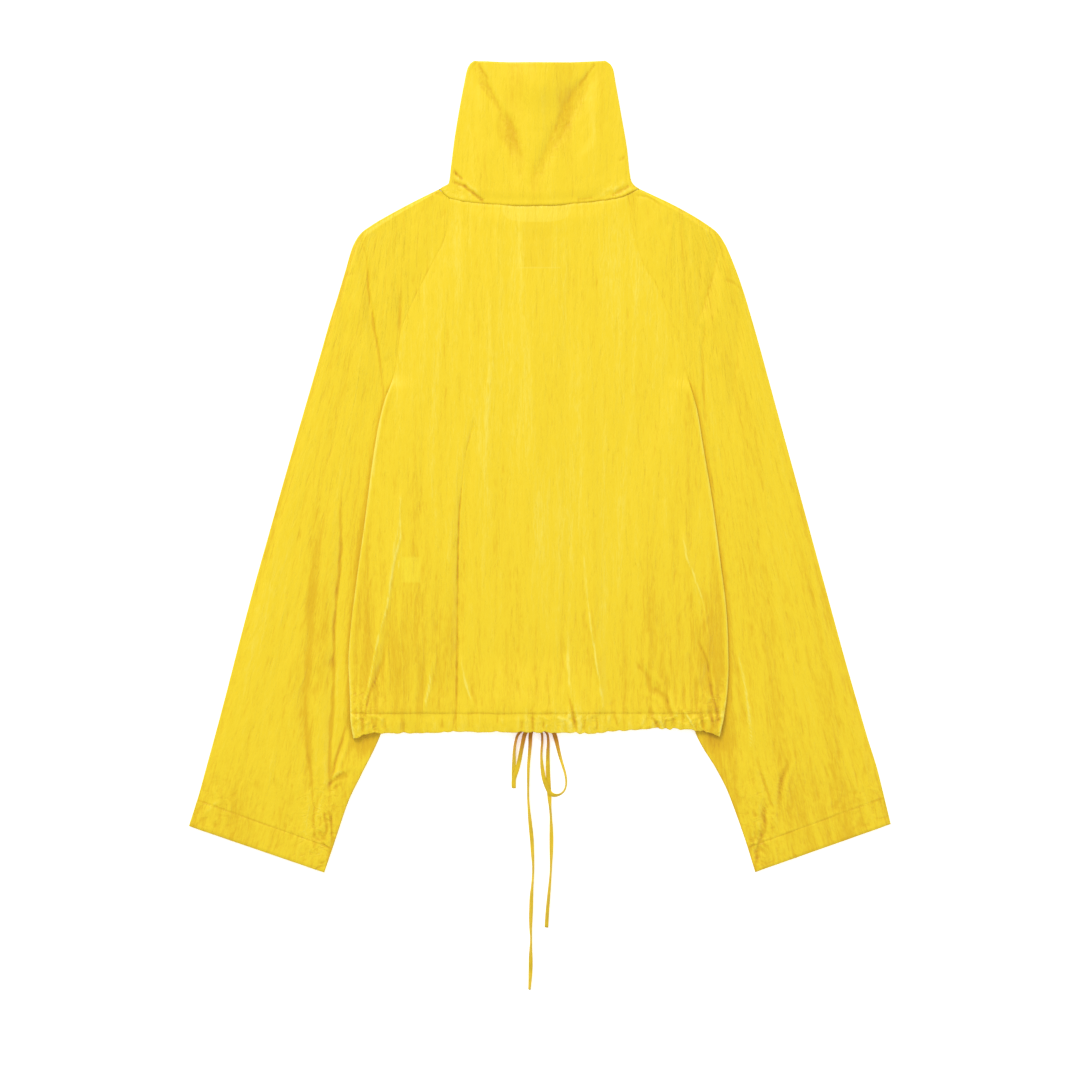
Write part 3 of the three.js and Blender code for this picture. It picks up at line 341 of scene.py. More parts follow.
# The flat tie, its sizes in metres and its routes in millimetres: place on the centre line, how far
# it is raised by what it crosses, and its twist in degrees
tie = {
    "wide": 0.005, "thick": 0.0012, "twist": 0.8, "finer": 5, "around": 14, "edgeRound": 0.55,
    "faceRound": 0.75, "floorGap": 0.00005,
}
tieRoutes = {
    "loopLeft": [
        (-13.4, -294.3, 0, 0), (-14.2, -297.6, 0, 20), (-19.4, -302, 0, 60), (-25.2, -308, 0, 72),
        (-28.2, -317, 0, 70), (-29.6, -327, 0, 60), (-29.9, -338, 0, 40), (-30.1, -349, 0, 10),
        (-30.1, -359.4, 0, 0), (-30.1, -369.3, 0.75, 0), (-30, -359.4, 1.5, 0),
        (-26.4, -348.4, 1.5, 0), (-23.8, -338, 1.2, 15), (-21.9, -328, 0.7, 30),
        (-19.7, -317, 0.7, 30), (-17.2, -307, 0.9, 20), (-12.4, -299.6, 1.5, 0),
        (-10.6, -294.3, 1.5, 0),
    ],
    "loopRight": [
        (-4.6, -294.3, 1.5, 0), (-3.2, -299, 1.2, 30), (1.8, -306, 0, 72), (2.6, -315, 0, 77),
        (1.8, -325, 0, 77), (1.6, -335, 0, 70), (2.6, -347, 0.4, 42), (4.5, -358, 1.5, 12),
        (8, -368.5, 1.5, 0), (12.2, -375.6, 1.5, 5), (17.9, -377.8, 0.6, 50), (24, -376.2, 0, 78),
        (28.5, -371.2, 0, 84), (30.2, -363.5, 0, 84), (29.1, -353.5, 0, 80), (26.2, -343.5, 0, 72),
        (23.2, -333.5, 0, 60), (20.6, -323, 0, 42), (18.2, -313, 0.3, 22), (14.8, -304.6, 1.3, 0),
        (5.6, -299, 1.5, 0), (2.2, -294.3, 1.5, 0),
    ],
    "endLeft": [
        (-7.6, -294.3, 0, 0), (-8.6, -300, 0, 15), (-10.8, -308, 0, 25), (-11.4, -320, 0, 45),
        (-12.4, -332, 0, 56), (-13.4, -346, 0, 64), (-13.6, -358, 0, 72), (-13.7, -370, 0, 80),
        (-13.6, -382, 0, 78), (-12.8, -394, 0, 70), (-11.6, -407, 0, 45), (-10.2, -420, 0, 30),
        (-9.2, -432, 0, 35), (-8.6, -445, 0, 55), (-7.9, -458, 0, 78), (-8.1, -470, 0, 82),
        (-8.9, -482, 0, 74), (-9.8, -494, 0, 45), (-10.2, -507, 0, 32), (-10.6, -519, 0, 42),
        (-10.7, -531, 0, 68), (-10.3, -543, 0, 84), (-10.6, -555, 0, 66), (-10.7, -567, 0, 30),
        (-10.9, -579, 0, 30), (-11.4, -590, 0, 55), (-12.2, -601.2, 0, 76),
    ],
    "endRight": [
        (-1.6, -294.3, 0, 0), (-0.7, -297.6, 0, 20), (4.2, -302, 0, 60), (8.6, -308, 0, 76),
        (9.5, -317, 0, 68), (9.1, -328, 0, 48), (9, -340, 0, 28), (9.3, -352, 0, 8),
        (9.9, -364, 0, 0), (10.6, -376, 0, 0), (11.4, -389, 0, 66), (12.4, -402, 0, 76),
        (12.9, -415, 0, 50), (13.1, -428, 0, 30), (13, -441, 0, 45), (12.7, -454, 0, 72),
        (12.2, -467, 0, 82), (11.2, -480, 0, 72), (10, -493, 0, 60), (8.9, -506, 0, 50),
        (8, -518, 0, 42), (7.4, -529.7, 0, 35),
    ],
    "leadLeft": [
        (-17.1, -288.5, 1.6, 0), (-20.4, -288.8, 1.8, 0), (-23.8, -290.8, 2.9, 0),
        (-27.6, -292, 3.5, 0),
    ],
    "leadRight": [
        (5.5, -288.5, 1.6, 0), (8.8, -288.8, 1.8, 0), (12.4, -290.8, 2.9, 0), (16.2, -292, 3.5, 0),
    ],
}


def rounded(turn, power):
    # part of a ring that is squarer than a circle
    return np.sign(turn) * np.abs(turn) ** power


def tieTube(rows):
    # centre line and rings of points of a flat tie that follows a route, level but for its twist
    turn = np.radians([tie["twist"] * row[3] for row in rows])
    rise = (tie["wide"] * np.abs(np.sin(turn)) + tie["thick"] * np.cos(turn)) / 2
    across, down, over = np.array([row[:3] for row in rows], float).T * mm
    knots = np.column_stack([across, down, tie["floorGap"] + rise + over, turn])
    padded = np.vstack([2 * knots[0] - knots[1], knots, 2 * knots[-1] - knots[-2]])
    centres = []
    for i in range(len(rows) - 1):
        a, b, c, d = padded[i:i + 4]
        for t in np.arange(tie["finer"]) / tie["finer"]:
            centres.append(0.5 * (2 * b + (c - a) * t + (2 * a - 5 * b + 4 * c - d) * t**2
                                  + (3 * b - a - 3 * c + d) * t**3))
    centres.append(knots[-1])
    centres = np.array(centres)
    line, turns = centres[:, :3], centres[:, 3]
    tangents = np.gradient(line, axis=0)
    tangents /= np.linalg.norm(tangents, axis=1)[:, None]
    level = np.array([1.0, 0, 0])
    angles = np.linspace(0, 2 * math.pi, tie["around"], endpoint=False)
    across = tie["wide"] / 2 * rounded(np.cos(angles), tie["edgeRound"])
    deep = tie["thick"] / 2 * rounded(np.sin(angles), tie["faceRound"])
    rings = []
    for place, tangent, twist in zip(line, tangents, turns):
        flat = np.cross(tangent, (0, 0, 1))
        if np.linalg.norm(flat) > 0.5:
            level = flat * (-1 if flat @ level < 0 else 1)
        level = level - tangent * (level @ tangent)
        level /= np.linalg.norm(level)
        side = level * math.cos(twist) + np.cross(tangent, level) * math.sin(twist)
        up = np.cross(tangent, side)
        rings.append(place + np.outer(across, side) + np.outer(deep, up))
    return line, np.array(rings)


def tubeFaces(rings, around, first=0):
    faces = []
    for r in range(rings - 1):
        for c in range(around):
            a, b = first + r * around + c, first + r * around + (c + 1) % around
            faces.append((a, b, b + around, a + around))
    last = first + (rings - 1) * around
    faces.append(tuple(first + c for c in reversed(range(around))))
    faces.append(tuple(last + c for c in range(around)))
    return faces


knot = {
    "middle": (-0.0058, -0.288, 0.0023), "half": (0.0107, 0.0055, 0.0022), "wraps": 3,
    "groove": 0.10, "round": 0.6, "rows": 28, "around": 20,
}


def makeBow():
    # the knot under the hem, wound round by the tie, with the two short leads into the channel
    points, faces = [], []
    for t in np.linspace(-1, 1, knot["rows"]):
        full = max(0.0, 1 - abs(t) ** 6) ** 0.3
        wrap = abs(math.sin(math.pi * knot["wraps"] * (t + 1) / 2)) ** 0.5
        full *= 1 - knot["groove"] * (1 - wrap)
        for angle in np.linspace(0, 2 * math.pi, knot["around"], endpoint=False):
            across, up = rounded(np.array([math.cos(angle), math.sin(angle)]), knot["round"])
            offsets = (t, full * across, full * up)
            points.append(tuple(m + h * o for m, h, o in zip(knot["middle"], knot["half"], offsets)))
    faces += tubeFaces(knot["rows"], knot["around"])
    for name in ("leadLeft", "leadRight"):
        line, rings = tieTube(tieRoutes[name])
        faces += tubeFaces(*rings.shape[:2], first=len(points))
        points += [tuple(p) for p in rings.reshape(-1, 3)]
    return points, faces


bowPoints, bowFaces = makeBow()
bow = meshPiece("bowKnot", bowPoints, bowFaces, finishes["tie"])
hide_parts("drawstring_knot", "drawstring_lead_left", "drawstring_lead_right")

tieNodes = {
    "loopLeft": "drawstring_loop_left", "loopRight": "drawstring_loop_right",
    "endLeft": "drawstring_end_left", "endRight": "drawstring_end_right",
}
for name, node in tieNodes.items():
    line, rings = tieTube(tieRoutes[name])
    piece = meshPiece("tie_" + name, rings.reshape(-1, 3), tubeFaces(*rings.shape[:2]), finishes["tie"])
    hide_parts(node)


# The garment's sizes
cloth, collarCloth, hemCloth, seamGap = 1.0, 1.4, 2.2, 0.3
edgeGap, neckY, armpitY, channelY = 0.45, 305, 104.2, -283.5
frontNeckDrop, bodyStep, rampLength, tapeStep = 22, 2.6, 17, 1.35
knotLift, knotX, knotY = 5.2, -4, -288
sliderLift, sliderY, zipHalfGap = 3.6, 450, 4
way = {"left": -1, "right": 1}

# Outlines: place along, place across
neckSeam = [
    (-116.1, 318.9), (-109.8, 313.4), (-103.5, 308.8), (-90.8, 305.7), (-58.6, 302.0), (-18.4, 300.1),
    (13.8, 300.5), (37.9, 302.6), (77.0, 306.6), (93.1, 309.9), (101.2, 313.4), (113.8, 319.8),
]
hemEdge = [
    (-213.9, -312.1), (-186.3, -306.4), (-120.7, -306.2), (-90.8, -305.0), (23.0, -305.4),
    (60.9, -306.7), (89.7, -304.1), (146.0, -301.1), (177.7, -302.2), (205.8, -309.3),
]
bodyEdge = {
    "left": [
        (319, -103.2), (308, -103.5), (276.7, -105.8), (256, -112.2), (243.3, -118.2), (216.9, -132.2),
        (193.9, -143.8), (170.9, -154.1), (155.9, -159.8), (123.7, -164.4), (104.2, -167.9),
        (75.4, -178.2), (47.8, -185.1), (13.3, -190.9), (-64.9, -201.2), (-135, -210.9),
        (-182.2, -216.7), (-224.7, -219.6), (-267.3, -217.9), (-289.1, -217.3), (-313, -213.9),
    ],
    "right": [
        (322, 99.5), (312.3, 100.6), (270.9, 106.9), (238.7, 116.1), (208.8, 133.4), (173.2, 148.3),
        (141, 159.8), (104.2, 169), (62.8, 180.5), (23.7, 187), (-45.3, 198.5), (-109.7, 207),
        (-167.2, 213.9), (-199.4, 215.6), (-229.3, 216.2), (-255.8, 215),
        (-285.7, 211.1), (-310.5, 205.8),
    ],
}
collarEdge = {
    "left": [
        (318.6, -116.4), (322.1, -111.0), (325.4, -105.1), (345.7, -102.3), (381.3, -97.7),
        (445.7, -86.2), (456.1, -83.9), (462.5, -80.8), (466.1, -76.5),
    ],
    "right": [
        (319.4, 114.1), (323.8, 108.1), (329.6, 104.6), (366.4, 100), (406.6, 93.1),
        (445.7, 86.2), (456, 84.4), (462.5, 81), (466.1, 76.0),
    ],
}
collarTop = [(-80, 466.1), (0, 463.2), (80, 466.1)]

# Sleeve sections from neck to cuff: station, inner edge, outer fold
sleeveSections = {
    "left": [
        (0, -103.5, 308.1, -116.8, 318.6), (1, -104.9, 290, -140, 307.2),
        (2, -110.4, 256, -164.4, 294.4), (3, -132.2, 216.9, -192, 278.5),
        (4, -148, 185, -206.3, 267.9), (5, -159.8, 155.9, -215, 253.9),
        (6, -164.4, 123.7, -224.2, 223.8), (7, -167.9, 104.2, -234, 191),
        (8, -174.6, 85, -241.5, 167.4), (9, -163.3, 53.6, -251, 134),
        (10, -149.5, 19.1, -261, 99.6), (11, -136.8, -26.9, -279, 37.5),
        (12, -132.2, -84.4, -296, -21.5), (13, -136.8, -141.9, -313, -82),
        (14, -149.5, -199.4, -330, -142.5), (15, -165.6, -256.9, -346, -203),
        (16, -185.1, -312.8, -362.8, -268.4), (17, -205.6, -354.6, -376.5, -319.5),
        (18, -219.6, -383.4, -386.5, -356), (19, -235, -428.3, -391.6, -374.6),
        (20, -247.8, -466.2, -403.6, -412.8),
    ],
    "right": [
        (0, 100.6, 312.3, 114.5, 319.3), (1, 103, 296, 132, 311.2), (2, 109, 262, 156, 299.6),
        (3, 133.4, 208.8, 186, 282.3), (4, 145, 181, 204.2, 268.6), (5, 154, 157, 212.7, 256),
        (6, 163, 129, 225.4, 226.1), (7, 169, 104.2, 234, 201.5), (8, 175.2, 84, 242, 175),
        (9, 164.4, 53.6, 252, 140), (10, 150.6, 19.1, 262.6, 101), (11, 138, -26.9, 280.2, 36.5),
        (12, 132.2, -84.4, 296.6, -23.5), (13, 136.8, -141.9, 313, -83.7),
        (14, 150.6, -199.4, 330, -146), (15, 165.6, -256.9, 347.5, -210.3),
        (16, 179.5, -308, 364.5, -270), (17, 201.3, -345.5, 377, -313),
        (18, 213.5, -368.5, 387.1, -345), (19, 235.3, -427.4, 393.8, -371.5),
        (20, 247.2, -465.6, 403.2, -410.4),
    ],
}

# Creases: one end, a bend, the other end, width and height of a soft ridge (or trough below 0)
bodyFolds = [
    (-77, 44, -94, -90, -97, -283, 5.5, -1.3), (-92, 30, -108, -90, -112, -270, 8, 0.8),
    (-160, -37, -175, -158, -203, -280, 5.5, 1.6), (-178, -205, -184, -240, -192, -280, 5, -1.1),
    (-120, -200, -126, -245, -133, -283, 6, 1.1), (-60, 250, -62, 60, -56, -240, 14, 0.7),
    (-8, 180, -12, -20, -6, -230, 14, 0.8), (31, -190, 34, -240, 42, -283, 6, 1.2),
    (50, 120, 58, -120, 71, -283, 9, 0.9), (98, 60, 112, -110, 124, -270, 11, 0.8),
    (126, -230, 142, -262, 156, -283, 6, 1.2), (164, -83, 180, -140, 194, -230, 5.5, 1.5),
    (183, -200, 194, -240, 203, -283, 5, -1.1), (-91, -226, -84, -250, -78, -273, 4, 0.9),
    (58, -180, 66, -225, 72, -272, 4.5, 1.0), (122, -190, 124, -205, 126, -220, 4, 0.7),
]
sleeveFolds = [
    (-205, 258, -198, 205, -181, 88, 5, -1.7), (-220, 225, -214, 160, -204, 60, 10, 1.0),
    (-187, 230, -180, 180, -174, 130, 8, 0.9), (-164, 208, -161, 170, -163, 134, 4, -1.0),
    (-229, -60, -237, -190, -240, -365, 5, -1.8), (-243, -70, -251, -200, -254, -350, 10, 1.1),
    (-264, -158, -270, -290, -259, -420, 5.5, -1.2), (-300, -90, -322, -220, -345, -370, 14, 1.0),
    (203, 250, 196, 205, 182, 162, 6, -1.4), (187, 156, 188, 110, 190, 55, 5, -1.4),
    (214, 235, 210, 170, 206, 70, 10, 1.1), (183, 240, 186, 215, 183, 190, 4, -0.8),
    (233, -262, 238, -292, 242, -325, 6, 1.3), (256, -358, 261, -390, 252, -440, 6, -1.1),
    (230, -40, 246, -160, 258, -300, 11, 0.9), (292, -60, 316, -190, 338, -340, 14, 1.0),
    (277, -365, 275, -378, 273, -390, 4, -0.8), (-246, -360, -236, -354, -222, -346, 5, 0.9),
]
collarFolds = [
    (-78, 460, -42, 402, -26, 340, 9, -1.3), (66, 460, 22, 398, -6, 330, 9, -1.3),
    (-6, 458, -2, 420, -4, 385, 24, 1.2), (-103, 332, -90, 324, -68, 309, 4, 1.3),
    (-104, 341, -97, 336, -90, 330, 3, 1.0),
]
gathers = [  # place, reach, pitch, height
    (-200, 26, 9, 0.9), (-150, 30, 15, 0.35), (-70, 60, 21, 0.25), (35, 38, 10, 0.7),
    (92, 26, 13, 0.45), (150, 36, 10, 0.85), (200, 22, 8, 0.9),
]


def foldHeight(folds, x, y):
    total = np.zeros_like(x)
    for x0, y0, xm, ym, x1, y1, wide, high in folds:
        t = np.clip((y - y0) / (y1 - y0), 0, 1)
        across = (x - mix(mix(x0, xm, t), mix(xm, x1, t), t)) / wide
        past = np.maximum(0, np.abs(y - (y0 + y1) / 2) - abs(y1 - y0) / 2)
        fade = hump(past, 1.6 * wide)
        swell = 0.35 + 0.65 * np.sin(math.pi * mix(0.12, 0.88, t))
        total += high * fade * swell * np.exp(-across * across)
    return total


def creases(u, v, seed, count, span, long, wide, high):
    # many small uneven creases that run along v, from a seeded table
    draw = np.random.default_rng(seed)
    total = np.zeros_like(u)
    for _ in range(count):
        middle, at = draw.uniform(*span[0]), draw.uniform(*span[1])
        half, width = draw.uniform(*long) / 2, draw.uniform(*wide)
        height = draw.uniform(*high) * draw.choice([-1, 1])
        lean, bend, phase = draw.normal(0, 0.06), draw.uniform(0.5, 2.5), draw.uniform(0, 6.28)
        off = v - at
        across = (u - middle - lean * off - bend * np.sin(off / (0.45 * half) + phase)) / width
        total += height * np.exp(-across**2 - (off / half) ** 4)
    return total


def cloudy(u, v, seed, wide, long, layers=1):
    # a smooth random field, about -1 to 1, whose grains are wide across and long along
    total = np.zeros_like(u)
    for layer in range(layers):
        table = np.random.default_rng(seed + layer).uniform(-1, 1, (256, 256))
        across, along = u / wide * 2**layer + 500, v / long * 2**layer + 500
        i, j = np.floor(across).astype(int), np.floor(along).astype(int)
        s, t = across - i, along - j
        s, t = s * s * (3 - 2 * s), t * t * (3 - 2 * t)
        low = mix(table[i % 256, j % 256], table[(i + 1) % 256, j % 256], s)
        high = mix(table[i % 256, (j + 1) % 256], table[(i + 1) % 256, (j + 1) % 256], s)
        total += 0.5**layer * mix(low, high, t)
    return total


def broken(u, v, seed, wide, long):
    # an uneven strength along a row of stitches
    return np.clip(0.7 + 0.9 * cloudy(u, v, seed, wide, long), 0.1, 1.4)


def crinkle(u, v, seed, wide, long):
    # sharp-topped small ridges that wander
    wandering = u + 0.5 * wide * cloudy(u, v, seed + 50, 3 * wide, 0.7 * long)
    return (1 - np.abs(cloudy(wandering, v, seed, wide, long, 2))) ** 3


def creaseHeight(table, x, y):
    # creases along a path down the cloth, steeper on the side that they lean to
    total = np.zeros_like(x)
    for wide, high, lean, path in [row[:4] for row in table]:
        places, levels = np.array(path, float).T
        low, top = levels.min(), levels.max()
        near = (x > places.min() - 7 * wide - 4) & (x < places.max() + 7 * wide + 4)
        near &= (y > low - 5 * wide - 6) & (y < top + 5 * wide + 6)
        if not near.any():
            continue
        nearX, nearY = x[near], y[near]
        along = np.clip(nearY, low, top)
        across = nearX - tableAt(path, 0, along, key=1)
        across = across + 0.35 * wide * cloudy(nearY + 3 * wide, 0 * nearY, 71, 9 + 2 * wide, 1.0)
        uneven = 0.85 + 0.4 * cloudy(nearY - 5 * wide, 0 * nearY, 72, 13 + 2 * wide, 1.0)
        reach = wide * uneven * np.where(across * lean > 0, 1 - 0.6 * abs(lean), 1 + 1.4 * abs(lean))
        swell = 0.1 + 0.9 * np.sin(math.pi * mix(0.06, 0.94, (along - low) / (top - low))) ** 0.75
        fade = np.exp(-((across / reach) ** 2) - ((nearY - along) / (1.6 * wide + 2)) ** 2)
        total[near] += high * uneven * swell * fade
    return total


def paintedShadeAlong(table, tints, x, y):
    # the painted shade or highlight along the creases that have one, and those painted without a crease
    return creaseHeight([(row[4], row[5], 0, row[3]) for row in table if len(row) > 4] + tints, x, y)


def acrossHeight(table, x, y, bow=0.12, ends=0.3):
    # short creases in any direction, slightly bowed and fainter at their ends: from, to, width, height
    total = np.zeros_like(x)
    for x0, y0, x1, y1, wide, high in table:
        long = math.hypot(x1 - x0, y1 - y0)
        t = np.clip(((x - x0) * (x1 - x0) + (y - y0) * (y1 - y0)) / long**2, 0, 1)
        off = np.hypot(x - mix(x0, x1, t), y - mix(y0, y1, t) - bow * long * np.sin(math.pi * t))
        total += high * hump(off, wide) * (ends + (1 - ends) * np.sin(math.pi * mix(0.1, 0.9, t)))
    return total


def relief(z, reach):
    # how far each point stands above the cloth beside it
    padded = np.pad(z, ((0, 0), (reach, reach)), mode="edge")
    return z - sum(padded[:, k:k + z.shape[1]] for k in range(2 * reach + 1)) / (2 * reach + 1)


shading = {"reach": 3, "gain": 0.30, "deepest": -1.4, "highest": 1.0, "paintedShade": 0.5}


def shadeFrom(z, paintedShade):
    # what the nylon finish reads: painted shade in a dip, painted highlight on a ridge, and the painted
    # shade and highlight that each piece adds
    height = np.clip(relief(z, shading["reach"]), shading["deepest"], shading["highest"])
    return np.clip(0.5 + shading["gain"] * height + shading["paintedShade"] * paintedShade, nylon["tones"][0], 1)


def sideValue(x, y, table):
    return np.where(x < 0, tableAt(table["left"], 1, y), tableAt(table["right"], 1, y))


def sign(x):
    return np.where(x < 0, -1, 1)


def neckAt(x):
    return tableAt(neckSeam, 1, x)


def frontNeckAt(x):
    return neckAt(x) - frontNeckDrop * np.clip(1 - (x / 99) ** 2, 0, 1)


def hemAt(x):
    return tableAt(hemEdge, 1, x)


def underarmX(side, y):
    rows = [(row[2], row[1]) for row in sleeveSections[side] if row[0] >= 8]
    return tableAt(rows, 1, np.minimum(y, rows[0][0]))


def frontLift(x, y):
    underarm = np.where(x < 0, underarmX("left", y), underarmX("right", y))
    inward = sign(x) * (underarm - x)
    ramp = smooth(armpitY, armpitY - rampLength, y)
    sleeve = bodyStep * ramp * (1 - smooth(9, 40, inward))
    besideKnot = 1 - smooth(34, 100, np.abs(x - knotX))
    aboveKnot = 1 - smooth(knotY + 14, knotY + 75, y)
    return np.maximum(sleeve, knotLift * besideKnot * aboveKnot)


def gatherHeight(x, y):
    total = np.zeros_like(x)
    for place, reach, pitch, high in gathers:
        near = hump(x - place, reach)
        total += high * near * (1 + np.cos(2 * math.pi * (x - place) / pitch)) * 0.5
    return total * (1 - smooth(channelY - 4, channelY + 46, y))


def overTape(x):
    return tapeStep * (1 - smooth(15, 34, np.abs(x)))


def backTop(x, y):
    inside = sign(x) * (sideValue(x, y, bodyEdge) - x)
    full = smooth(0, 34, inside) * smooth(0, 18, neckAt(x) - y)
    overHem = (hemCloth - cloth) * (1 - smooth(channelY, channelY + 30, y))
    overCollar = (collarCloth - cloth) * smooth(frontNeckAt(x) - 14, frontNeckAt(x) - 4, y)
    fullness = np.maximum(0, 1.3 + foldHeight(bodyFolds, x, y))
    return (frontLift(x, y) + 2 * cloth + seamGap + overHem + overTape(x) + overCollar + full * fullness
            + gatherHeight(x, y))


def hemTop(x, y, share):
    swell = hemCloth * (0.72 + 0.28 * np.sin(math.pi * np.clip(share, 0, 1)))
    return frontLift(x, y) + hemCloth + seamGap + overTape(x) + gatherHeight(x, y) * 1.2 + swell


def rowY(share, x, topAt):
    level = mix(neckY, channelY, share)
    ease = (1 - np.clip(share / 0.34, 0, 1)) ** 1.5
    return level + (topAt(x) - edgeGap - neckY) * ease


def edgePoint(side, share, topAt=neckAt):
    level = mix(neckY, channelY, share)
    y = rowY(share, tableAt(bodyEdge[side], 1, level), topAt)
    return tableAt(bodyEdge[side], 1, y), y


def halfPanel(side, rows, across, middle, topAt, hemIn=0):
    # one half of a body panel, row by row from its edge to the middle: rows past 1 are its turned hem
    x = np.zeros((len(rows), len(across)))
    y = np.zeros_like(x)
    for i, share in enumerate(rows):
        edgeX = edgePoint(side, min(share, 1.0), topAt)[0]
        if share > 1:
            edgeX = tableAt(bodyEdge[side], 1, mix(channelY, hemAt(edgeX), share - 1))
        x[i] = mix(edgeX, middle, across)
        y[i] = rowY(share, x[i], topAt) if share <= 1 else mix(channelY, hemAt(x[i]) + hemIn, share - 1)
    return x, y


print("sizes set")


# Back: one panel with its turned hem, rolled over at the sides down to the fronts
back = {
    "columns": 138, "rows": 136, "hemRows": 20, "rollOut": 0.6, "rollRows": 5, "crinkle": 0.42,
    "aboveFronts": 1.8, "hemIn": 0.9, "seamDip": 0.3, "edgeDeep": (0.9, 3.0), "hemOut": 0.9,
    "hemDeep": 2.4, "neckIn": 1.0, "neckDrop": 0.7, "nearSeam": [3.4, 2.2, 1.4, 0.8, 0.4, 0],
    "close": {"left": [(0.565, 0.05), (0.13, 0.07)], "right": [(0.69, 0.045), (0.14, 0.06)]},
    "creases": [  # seed, count, where, length, width, height
        (11, 260, ((-215, 215), (-290, 300)), (50, 190), (2.6, 6.5), (0.06, 0.30)),
        (12, 70, ((-215, 215), (-300, -220)), (20, 60), (2.2, 4.0), (0.15, 0.6)),
    ],
    "edgeHighlight": 1.5, "stitchDark": 0.5, "hemLight": 0.24, "raglanDark": 0.2, "tuckShade": 0.6,
}
longCrease = [
    (-85.1, 15.6), (-89.7, -22.3), (-93.6, -71.8), (-94.3, -120.1), (-95.4, -199.4), (-96.6, -302),
]
# creases: width, height, lean to one side, path, and the width and strength of a painted shade or
# highlight along it if there is one
bodyCreases = [
    (1.1, -1.5, 0, [(-76, 50)] + longCrease),
    (5.5, 1.1, 0.5, [(-84, 30), (-97, -22), (-100.5, -120), (-101.5, -280)]),
    (1.2, 1.1, 0, [(-160.4, -37.3), (-160.6, -81), (-166.8, -106.3), (-174.8, -158),
                   (-186.3, -197.1), (-194.3, -240.8), (-204, -285)], 1.0, 0.9),
    (1.3, 0.9, 0, [(-166.5, -88), (-170, -118), (-175, -150)]),
    (1.3, 0.8, 0, [(-158, -96), (-163, -118), (-167, -140)]),
    (2.2, -1.4, 0.3, [(-180, -222), (-187, -241), (-195, -258), (-201, -286)], 1.3, -1.2),
    (1.9, 1.0, 0, [(-120.7, -217.8), (-126, -245), (-133.4, -279.9)], 1.3, 0.8),
    (1.7, 0.9, 0, [(-90.8, -225.9), (-85, -250), (-78.2, -273)], 1.4, 0.7),
    (2.0, 1.1, 0, [(31, -206), (33, -240), (34.5, -275)], 1.5, 0.7),
    (2.2, -1.0, 0, [(30.9, -243), (36, -275), (42.8, -303)]),
    (1.9, 1.3, 0, [(50.7, -107.4), (57.3, -176), (63.9, -220.8), (71.8, -271)], 1.1, 0.8),
    (6, -0.8, -0.4, [(66, -150), (76, -220), (84, -270)]),
    (1.8, 1.3, 0, [(164.4, -83.3), (169.4, -107.4), (178.6, -128.5), (187.8, -160.2),
                   (193.2, -197.1)], 1.3, 0.6),
    (2.4, -1.6, 0.3, [(182.8, -202.9), (191.8, -226), (195.8, -255), (205, -290)], 1.4, -1.25),
    (2.6, 1.0, 0, [(174, -215), (181, -245), (188, -280)]),
    (2.2, -1.2, 0, [(144.3, -262.6), (148, -276), (152.3, -289)]),
    (2.6, -0.9, 0, [(112, -205), (119, -235), (131, -262)]),
    (1.8, 0.8, 0, [(160, -274), (168, -285), (177, -297)]),
    (2.4, -0.8, 0, [(108, -178), (110, -190), (113, -203)]),
    (5, 0.7, 0, [(-30, 180), (-34, 60), (-30, -90)]),
    (6, -0.6, 0.3, [(10, 120), (14, 0), (12, -150)]),
    (5, 0.7, -0.3, [(78, 120), (90, 0), (96, -120)]),
    (6, -0.7, 0, [(-130, 60), (-138, -60), (-142, -200)]),
    (5, 0.6, 0, [(130, 90), (144, -20), (152, -160)]),
    (4, 0.6, 0, [(-60, 210), (-58, 130), (-63, 40)]),
    (2.5, 0.45, 0, [(-98, 290), (-84, 281), (-66, 276)]),
    (2.5, 0.45, 0, [(94, 292), (80, 284), (62, 280)]),
]
hemTucks = [  # folds of the gathered hem: top, foot, width, depth
    (-49, -284, -49.5, -303, 1.6, 0.9), (-21, -289, -22, -305, 1.8, 1.0),
    (-9, -285, -8, -305, 1.6, 1.1), (3, -291, 5, -306, 1.7, 1.2), (14, -286, 16, -307, 1.6, 1.1),
    (33, -262, 41.5, -305, 1.9, 1.3), (50, -286, 51, -305, 1.7, 1.0),
    (64, -285, 66, -306, 1.7, 1.1), (85, -286, 91, -303, 1.6, 0.9),
    (127, -281, 135, -301, 1.9, 1.3), (140, -286, 144, -302, 1.6, 0.9),
    (150, -284, 153, -300, 1.6, 0.8), (166, -282, 178, -302, 1.6, -1.0),
    (184, -284, 188, -304, 1.8, 1.2), (196, -282, 200, -306, 1.8, 1.3),
    (-205, -284, -203, -308, 1.7, 1.1), (-193, -288, -190, -307, 1.8, 0.9),
    (-158, -288, -157, -306, 1.8, 0.6), (-98, -284, -100, -304, 1.6, 0.9),
    (-112, -292, -110, -306, 2.0, 0.6), (75, -286, 78, -304, 1.4, 0.8),
]
backCross = [  # short creases that run across the back's low right and left: from, to, width, height
    (123, -254, 142, -263, 1.7, -1.3), (118, -262, 138, -269, 1.7, 1.0),
    (134, -248, 147, -270, 1.6, -1.1), (112, -228, 126, -246, 1.6, -0.8),
    (-187, -250, -199, -272, 1.6, -1.0), (-205.5, -231, -211.5, -262, 1.6, -1.0),
    (186, -262, 202, -270, 1.8, 0.9), (-196, -286, -180, -292, 1.8, 0.8),
    (20, -288, 34, -294, 1.6, 0.8),
]
